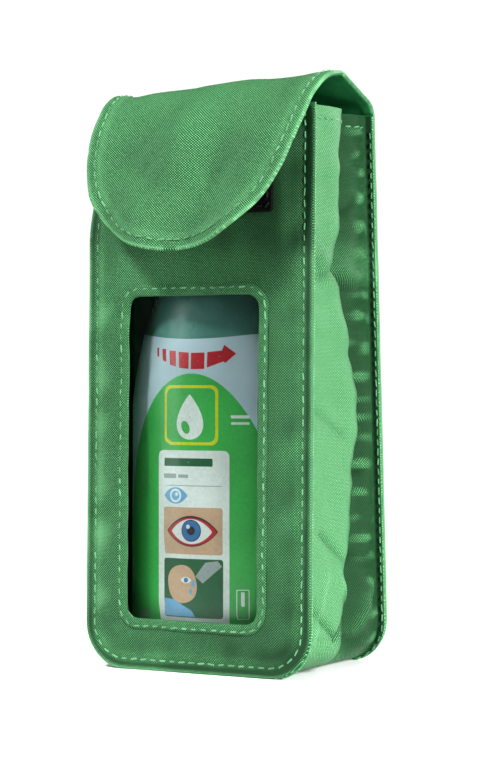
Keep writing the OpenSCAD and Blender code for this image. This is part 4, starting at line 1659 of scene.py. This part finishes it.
def build_bottle(
    shop: Workshop, finishes: dict[str, bpy.types.Material], inks: list[bpy.types.Material],
) -> None:
    """Makes the bottle, what is in it, its label film and the shapes printed on it.

    Args:
        shop: the finishes and the walls' places.
        finishes: the bottle's finishes by name.
        inks: the print's finishes, in the order of Ink.
    """
    bottle = Bottle()
    shop.finish(make_object("bottle_wall", bottle.skin(1e3, 0.4, 0.8), [finishes["bottle"]]),
                "bottle_film", "bottle", "bottle_shell")
    fluid = box_mm("eyewash_solution")
    depth = fluid[1][2] - bottle.low[2]
    z, scale = bottle.heights(depth - 0.6)
    lid = np.linspace(0.99, 0.03, 12)
    z = np.concatenate([z, np.full(12, depth)])
    scale = np.concatenate([scale, lid])
    rings = bottle.rings(z, scale, 1.5)
    dip = 1.1 * (1 - scale[:, None]) * (z > depth - 0.1)[:, None]
    rings[..., 2] += 1.5 * (z < bottle.foot)[:, None] - dip
    faces = np.concatenate([quads(len(z), 128, wrap_cols=True), end_caps(len(z), 128)])
    shop.finish(make_object("solution_body", Skin(rings.reshape(-1, 3), faces), [finishes["solution"]]),
                "solution", "bottle", "eyewash_solution")

    low, high = box_mm("front_label")
    middle = (bottle.low[0] + bottle.high[0]) / 2
    angle = np.radians(np.linspace(-70, 70, 90))
    t = np.linspace(0, 1, 100)[:, None]
    top = high[2] + 0.4 - 2.0 * np.cos(angle * 90 / 70) ** 2
    z = low[2] + (top - low[2]) * t
    x = middle + bottle.halves(z - bottle.low[2])[0] * np.sin(angle)

    def face(u: Array, v: Array) -> Array:
        """Gives points just off the bottle's front."""
        return bottle.on_face(u, v, 0.22)

    normals = normals_of(face, x, z)
    normals *= np.sign(-normals[..., 1:2])
    film = shell(face(x, z), normals, 0.1, np.stack([x, z], -1))
    art = None
    for ring, ink, layer in label_art():
        centre = ring.mean(0)
        r = np.linspace(0.03, 1, 16)[:, None, None]
        flat = centre + (ring - centre)[None] * r
        n = normals_of(face, flat[..., 0], flat[..., 1])
        n *= np.sign(-n[..., 1:2])
        points = bottle.on_face(flat[..., 0], flat[..., 1], 0.28 + 0.035 * layer)
        skin = shell(points, n, 0.02, flat, wrap=True)
        skin.face_slot = np.full(len(skin.faces), ink.value)
        art = skin if art is None else art.joined(skin)
    obj = make_object("label_film", film, [finishes["film"]])
    shop.finish(obj, "label_green", "bottle", "front_label")
    shop.finish(make_object("label_print", art, inks), "label_green", "bottle")


@dataclass(frozen=True)
class MouldedFinish:
    """Moulded plastic: flow marks, fine scratches and a slightly uneven gloss."""

    name: str
    base: Colour
    dark: Colour
    rough: float
    clear: float = 0.0
    through: float = 0.0

    def material(self) -> bpy.types.Material:
        """Builds the finish.

        Returns:
            The finished material.
        """
        g = Graph(self.name)
        place = g.place()
        flow = g.noise(place, 60.0, 4.0)
        fine = g.noise(place, 2600.0, 2.0)
        tall = g.add("Mapping", "Vector", {"Vector": place, "Scale": (1.0, 1.0, 0.05)})
        scratch = g.spread(g.noise(tall, 900.0, 3.0, 0.7), 0.62, 0.7, 0.0, 1.0)
        colour = g.mix(g.spread(flow, 0.3, 0.7, 0.0, 1.0), self.base, self.dark)
        rough = g.math("ADD", g.spread(flow, 0.3, 0.7, self.rough, self.rough + 0.08),
                       g.math("MULTIPLY", scratch, 0.1))
        normal = g.bump(g.math("ADD", fine, g.math("MULTIPLY", scratch, -0.5)), 0.012)
        return g.surface(colour, rough, normal, IOR=1.5, Transmission_Weight=self.clear,
                         Subsurface_Weight=self.through, Subsurface_Radius=(0.004, 0.004, 0.004))


@dataclass(frozen=True)
class PrintFinish:
    """Ink on film: an even colour with a faint grain, under a thin gloss."""

    name: str
    base: Colour

    def material(self) -> bpy.types.Material:
        """Builds the finish.

        Returns:
            The finished material.
        """
        g = Graph(self.name)
        grain = g.noise(g.place(), 900.0, 3.0)
        wide = g.noise(g.place(), 45.0, 2.0)
        darker = tuple(c * 0.78 for c in self.base[:3]) + (1.0,)
        mixed = g.math("ADD", g.math("MULTIPLY", grain, 0.4), g.math("MULTIPLY", wide, 0.6))
        colour = g.mix(g.spread(mixed, 0.3, 0.72, 0.0, 1.0), self.base, darker)
        return g.surface(colour, g.spread(grain, 0.3, 0.7, 0.32, 0.42), g.bump(grain, 0.006), Coat_Weight=0.3,
                         Coat_Roughness=0.15)


def pane_finish() -> bpy.types.Material:
    """Clear film: light passes straight through, and it mirrors more at a slant.

    Returns:
        The finished material.
    """
    g = Graph("clear_film")
    waves = g.noise(g.place(), 35.0, 3.0)
    haze = g.noise(g.place(), 240.0, 4.0, 0.6)
    normal = g.bump(waves, 0.5)
    gloss = g.add("BsdfPrincipled", inputs={
        "Base Color": (0.80, 0.86, 0.86, 1.0), "Roughness": g.spread(haze, 0.3, 0.7, 0.07, 0.14),
        "Metallic": 1.0, "Normal": normal,
    })
    clear = g.add("BsdfTransparent", inputs={"Color": (0.93, 0.965, 0.95, 1.0)})
    facing = g.add("LayerWeight", "Fresnel", {"Blend": 0.2})
    amount = g.math("ADD", g.math("MULTIPLY", facing, 0.8), g.spread(haze, 0.35, 0.75, 0.0, 0.015),
                    clamp=True)
    mix = g.tree.nodes.new("ShaderNodeMixShader")
    g.tree.links.new(amount, mix.inputs[0])
    g.tree.links.new(clear, mix.inputs[1])
    g.tree.links.new(gloss, mix.inputs[2])
    g.end(mix.outputs[0])
    return g.material


def webbing_finish() -> bpy.types.Material:
    """Ribbed webbing: rows of slanting picks across the band.

    Returns:
        The finished material.
    """
    g = Graph("webbing_ribs")
    u, v = g.cloth_uv()
    zigzag = g.math("ABSOLUTE", g.math("SINE", g.math("MULTIPLY", v, math.pi / 1.8)))
    slant = g.math("ADD", u, g.math("MULTIPLY", zigzag, 0.5))
    picks = g.math("SINE", g.math("MULTIPLY", slant, 2 * math.pi / 1.1))
    ribs = g.math("ABSOLUTE", g.math("SINE", g.math("MULTIPLY", v, math.pi / 0.9)))
    height = g.math("ADD", g.math("MULTIPLY", picks, 0.4), ribs)
    patchy = g.noise(g.place(), 60.0, 3.0)
    tone = g.add("Attribute", "Fac", attribute_name="tone")
    base, dark, light = (0.016, 0.150, 0.045, 1.0), (0.005, 0.060, 0.018, 1.0), (0.10, 0.36, 0.16, 1.0)
    # Painted shade in the grooves between ribs; tone pales the band's edges
    colour = g.mix(g.spread(height, 0.0, 1.2, 1.0, 0.0), base, dark)
    colour = g.mix(g.math("MULTIPLY", patchy, 0.4), colour, dark)
    colour = g.mix(g.math("MULTIPLY", tone, 0.4, clamp=True), colour, light)
    return g.surface(colour, 0.6, g.bump(height, 0.12), Sheen_Weight=0.08, Sheen_Roughness=0.4,
                     Specular_IOR_Level=0.25)


def pile_finish() -> bpy.types.Material:
    """Hook-and-loop pile: near black, with a rough nap that catches a little light.

    Returns:
        The finished material.
    """
    g = Graph("pile_black")
    nap = g.add("TexVoronoi", "Distance", {"Vector": g.place(), "Scale": 1700.0})
    clump = g.noise(g.place(), 500.0, 3.0)
    colour = g.mix(g.spread(nap, 0.1, 0.7, 1.0, 0.0), (0.001, 0.001, 0.001, 1.0), (0.005, 0.005, 0.0055, 1.0))
    height = g.math("ADD", nap, g.math("MULTIPLY", clump, 0.7))
    return g.surface(colour, 0.9, g.bump(height, 0.2), Specular_IOR_Level=0.08)


def finish_hard_parts(finishes: dict[str, bpy.types.Material]) -> None:
    """Gives the moulded and stamped parts under the flap their finishes, and smooths their shading."""
    wanted = {
        "dust_cap": "cap", "tamper_ring": "cap", "eye_cup": "cup", "flow_insert": "white",
        "seal_disc": "foil", "back_label": "paper",
    }
    for node, key in wanted.items():
        mesh = frame["nodes"][node].data
        mesh.materials.clear()
        mesh.materials.append(finishes[key])
        mesh.polygons.foreach_set("use_smooth", np.ones(len(mesh.polygons), bool))
        mesh.polygons.foreach_set("material_index", np.zeros(len(mesh.polygons), np.int32))
        mesh.set_sharp_from_angle(angle=math.radians(32))


# ---- stage ----


# How bright the studio looks to the camera, and how much it lights the pouch
BACKDROP_STRENGTH = 1.05
FILL_STRENGTH = 0.07
# The camera's place in metres, its turns in degrees, its lens in millimetres, and its shift
CAMERA_PLACE = (0.3588, -0.6586, 0.0970)
CAMERA_TURN = (90, 0, 28.70)
CAMERA_LENS = 101.35
CAMERA_SHIFT = 0.0165


@dataclass(frozen=True)
class SoftLight:
    """A rectangular light that faces the middle of the pouch: its place and size in metres, in watts."""

    name: str
    place: tuple[float, float, float]
    size: tuple[float, float]
    power: float

    def hang(self) -> None:
        """Adds the light to the stage."""
        data = bpy.data.lights.new(self.name, "AREA")
        data.shape = "RECTANGLE"
        data.size, data.size_y = self.size
        data.energy = self.power
        light = bpy.data.objects.new(self.name, data)
        light.location = self.place
        aim = Vector((0, 0, 0.1)) - Vector(self.place)
        light.rotation_euler = aim.to_track_quat("-Z", "Y").to_euler()
        bpy.context.scene.collection.objects.link(light)


LIGHTS = (
    SoftLight("key_right", (1.00, -0.22, 0.34), (0.20, 0.5), 30.0),
    SoftLight("top_left", (-0.34, -0.62, 0.92), (0.14, 0.14), 22.0),
    SoftLight("left_fill", (-0.50, -0.38, 0.18), (0.3, 0.6), 2.4),
    SoftLight("back_fill", (0.25, 0.95, 0.60), (0.7, 0.6), 9.0),
)


def set_stage() -> None:
    """Lays the pale floor, hangs the lights and places the camera."""
    g = Graph("pale_floor")
    grain = g.noise(g.place(), 30.0, 3.0)
    colour = g.mix(g.spread(grain, 0.3, 0.7, 0.0, 1.0), (0.92, 0.92, 0.92, 1.0), (0.90, 0.90, 0.90, 1.0))
    away = g.add("VectorMath", "Value", {0: g.place()}, operation="LENGTH")
    camera_only = g.add("LightPath", "Is Camera Ray")
    strength = g.math("MULTIPLY", camera_only, BACKDROP_STRENGTH)
    glow = g.add("Emission", inputs={"Color": (1.0, 1.0, 1.0, 1.0), "Strength": strength})
    matte = g.add("BsdfPrincipled", inputs={"Base Color": colour, "Roughness": 0.9})
    blend = g.tree.nodes.new("ShaderNodeMixShader")
    g.tree.links.new(g.spread(away, 0.10, 0.34, 0.0, 1.0), blend.inputs[0])
    g.tree.links.new(matte, blend.inputs[1])
    g.tree.links.new(glow, blend.inputs[2])
    g.end(blend.outputs[0])
    floor_finish = g.material
    x, y = np.meshgrid(np.linspace(-4000, 4000, 9), np.linspace(-4000, 4000, 9))
    points = np.stack([x, y, np.full_like(x, -0.05)], -1).reshape(-1, 3)
    floor = make_object("floor", Skin(points, quads(9, 9)), [floor_finish])
    world = bpy.data.worlds.new("studio")
    world.use_nodes = True
    tree = world.node_tree
    tree.nodes["Background"].inputs["Color"].default_value = (1.0, 1.0, 1.0, 1.0)
    seen, path = tree.nodes.new("ShaderNodeMapRange"), tree.nodes.new("ShaderNodeLightPath")
    seen.inputs["To Min"].default_value = FILL_STRENGTH
    seen.inputs["To Max"].default_value = BACKDROP_STRENGTH
    tree.links.new(path.outputs["Is Camera Ray"], seen.inputs["Value"])
    tree.links.new(seen.outputs["Result"], tree.nodes["Background"].inputs["Strength"])
    bpy.context.scene.world = world
    for light in LIGHTS:
        light.hang()
    camera_data = bpy.data.cameras.new("camera")
    camera_data.sensor_width = 36.0
    camera_data.sensor_fit = "AUTO"
    camera_data.lens = CAMERA_LENS
    camera_data.shift_x = CAMERA_SHIFT
    camera = bpy.data.objects.new("camera", camera_data)
    camera.location = CAMERA_PLACE
    camera.rotation_euler = [math.radians(turn) for turn in CAMERA_TURN]
    bpy.context.scene.collection.objects.link(camera)
    bpy.context.scene.camera = camera
    bpy.context.scene.view_settings.view_transform = "Standard"


def find_shop() -> Workshop:
    """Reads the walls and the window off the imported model, and makes the cloth's finishes.

    Returns:
        The workshop that the builders share.
    """
    nylon = WovenFinish(
        "nylon_weave", (0.007, 0.115, 0.027, 1.0), (0.23, 0.62, 0.28, 1.0), (0.001, 0.026, 0.005, 1.0))
    lining = CoatedFinish("nylon_coated", (0.011, 0.200, 0.052, 1.0), (0.006, 0.125, 0.032, 1.0))
    thread = ThreadFinish("green_thread", (0.105, 0.34, 0.150, 1.0), (0.028, 0.14, 0.052, 1.0))
    walls = {}
    for direction, node in ((Direction.FRONT, "front_panel"), (Direction.BACK, "back_panel")):
        low, high = box_mm(node)
        rise = high[2] - low[2]
        outer, inner = (low[1], high[1]) if direction is Direction.FRONT else (high[1], low[1])
        slope = (inner + direction.value * 1.0 - outer) / rise
        top = high[2] - (1.2 if direction is Direction.FRONT else 0.0)
        plate = Plate((high[0] - low[0]) / 2, low[2], top, 15.2, 2.0)
        pillow, seed = (1.1, 3) if direction is Direction.FRONT else (0.7, 8)
        walls[direction] = Wall(plate, outer - slope * low[2], slope, 1.0, direction, pillow, seed)
    low, high = box_mm("window_binding")
    band = 3.4
    window = Plate((high[0] - low[0]) / 2 - band, low[2] + band, high[2] - band, 4, 4, (high[0] + low[0]) / 2)
    return Workshop(nylon.material(), lining.material(), thread.material(), walls[Direction.FRONT],
                    walls[Direction.BACK], window)


def bottle_finishes() -> dict[str, bpy.types.Material]:
    """Makes the finishes of the bottle and of the parts under the flap.

    Returns:
        The finishes by name.
    """
    finishes = {
        "bottle": MouldedFinish("smoky_bottle", (0.125, 0.315, 0.280, 1), (0.075, 0.215, 0.185, 1), 0.25),
        "solution": MouldedFinish("clear_solution", (0.6, 0.72, 0.72, 1), (0.5, 0.65, 0.66, 1), 0.05, 0.9),
        "film": MouldedFinish("smoky_film", (0.58, 0.70, 0.80, 1), (0.50, 0.62, 0.72, 1), 0.3),
        "cap": MouldedFinish("green_cap", (0.022, 0.21, 0.085, 1), (0.015, 0.17, 0.065, 1), 0.34),
        "cup": MouldedFinish("milky_cup", (0.72, 0.84, 0.80, 1), (0.64, 0.78, 0.74, 1), 0.25, 0.35, 0.2),
        "white": MouldedFinish("white_insert", (0.82, 0.83, 0.83, 1), (0.76, 0.78, 0.78, 1), 0.35),
        "foil": MouldedFinish("pale_foil", (0.72, 0.72, 0.72, 1), (0.6, 0.6, 0.61, 1), 0.3),
        "paper": PrintFinish("back_paper", (0.80, 0.82, 0.81, 1.0)),
    }
    return {name: finish.material() for name, finish in finishes.items()}


def print_inks() -> list[bpy.types.Material]:
    """Makes the inks.

    Returns:
        The inks' materials, in the order of Ink.
    """
    colours = {
        Ink.GREEN: (0.062, 0.52, 0.100), Ink.YELLOW: (0.78, 0.80, 0.02), Ink.WHITE: (0.93, 0.95, 0.95),
        Ink.RED: (0.62, 0.018, 0.030), Ink.BLUE: (0.05, 0.20, 0.52), Ink.SKIN: (0.72, 0.45, 0.30),
        Ink.DARK: (0.03, 0.02, 0.02), Ink.SKY: (0.20, 0.48, 0.80), Ink.FOREST: (0.02, 0.13, 0.05),
        Ink.GREY: (0.42, 0.46, 0.47),
    }
    return [PrintFinish(f"print_{ink.name.lower()}", (*colours[ink], 1.0)).material() for ink in Ink]


def main() -> None:
    logging.basicConfig(level=logging.INFO, format="%(message)s")
    shop = find_shop()
    build_front(shop)
    build_pane(shop, pane_finish())
    build_back(shop)
    Gusset(shop, Plate(GUSSET_HALF, 0.0, box_mm("side_gusset")[1][2] - 1.5, GUSSET_CORNER, 0.3)).build()
    flap = Flap(shop)
    flap.build()
    build_belt_loop(shop, webbing_finish())
    build_patches(shop, flap, pile_finish())
    finishes = bottle_finishes()
    build_bottle(shop, finishes, print_inks())
    finish_hard_parts(finishes)
    set_stage()


if __name__ == "__main__":
    main()
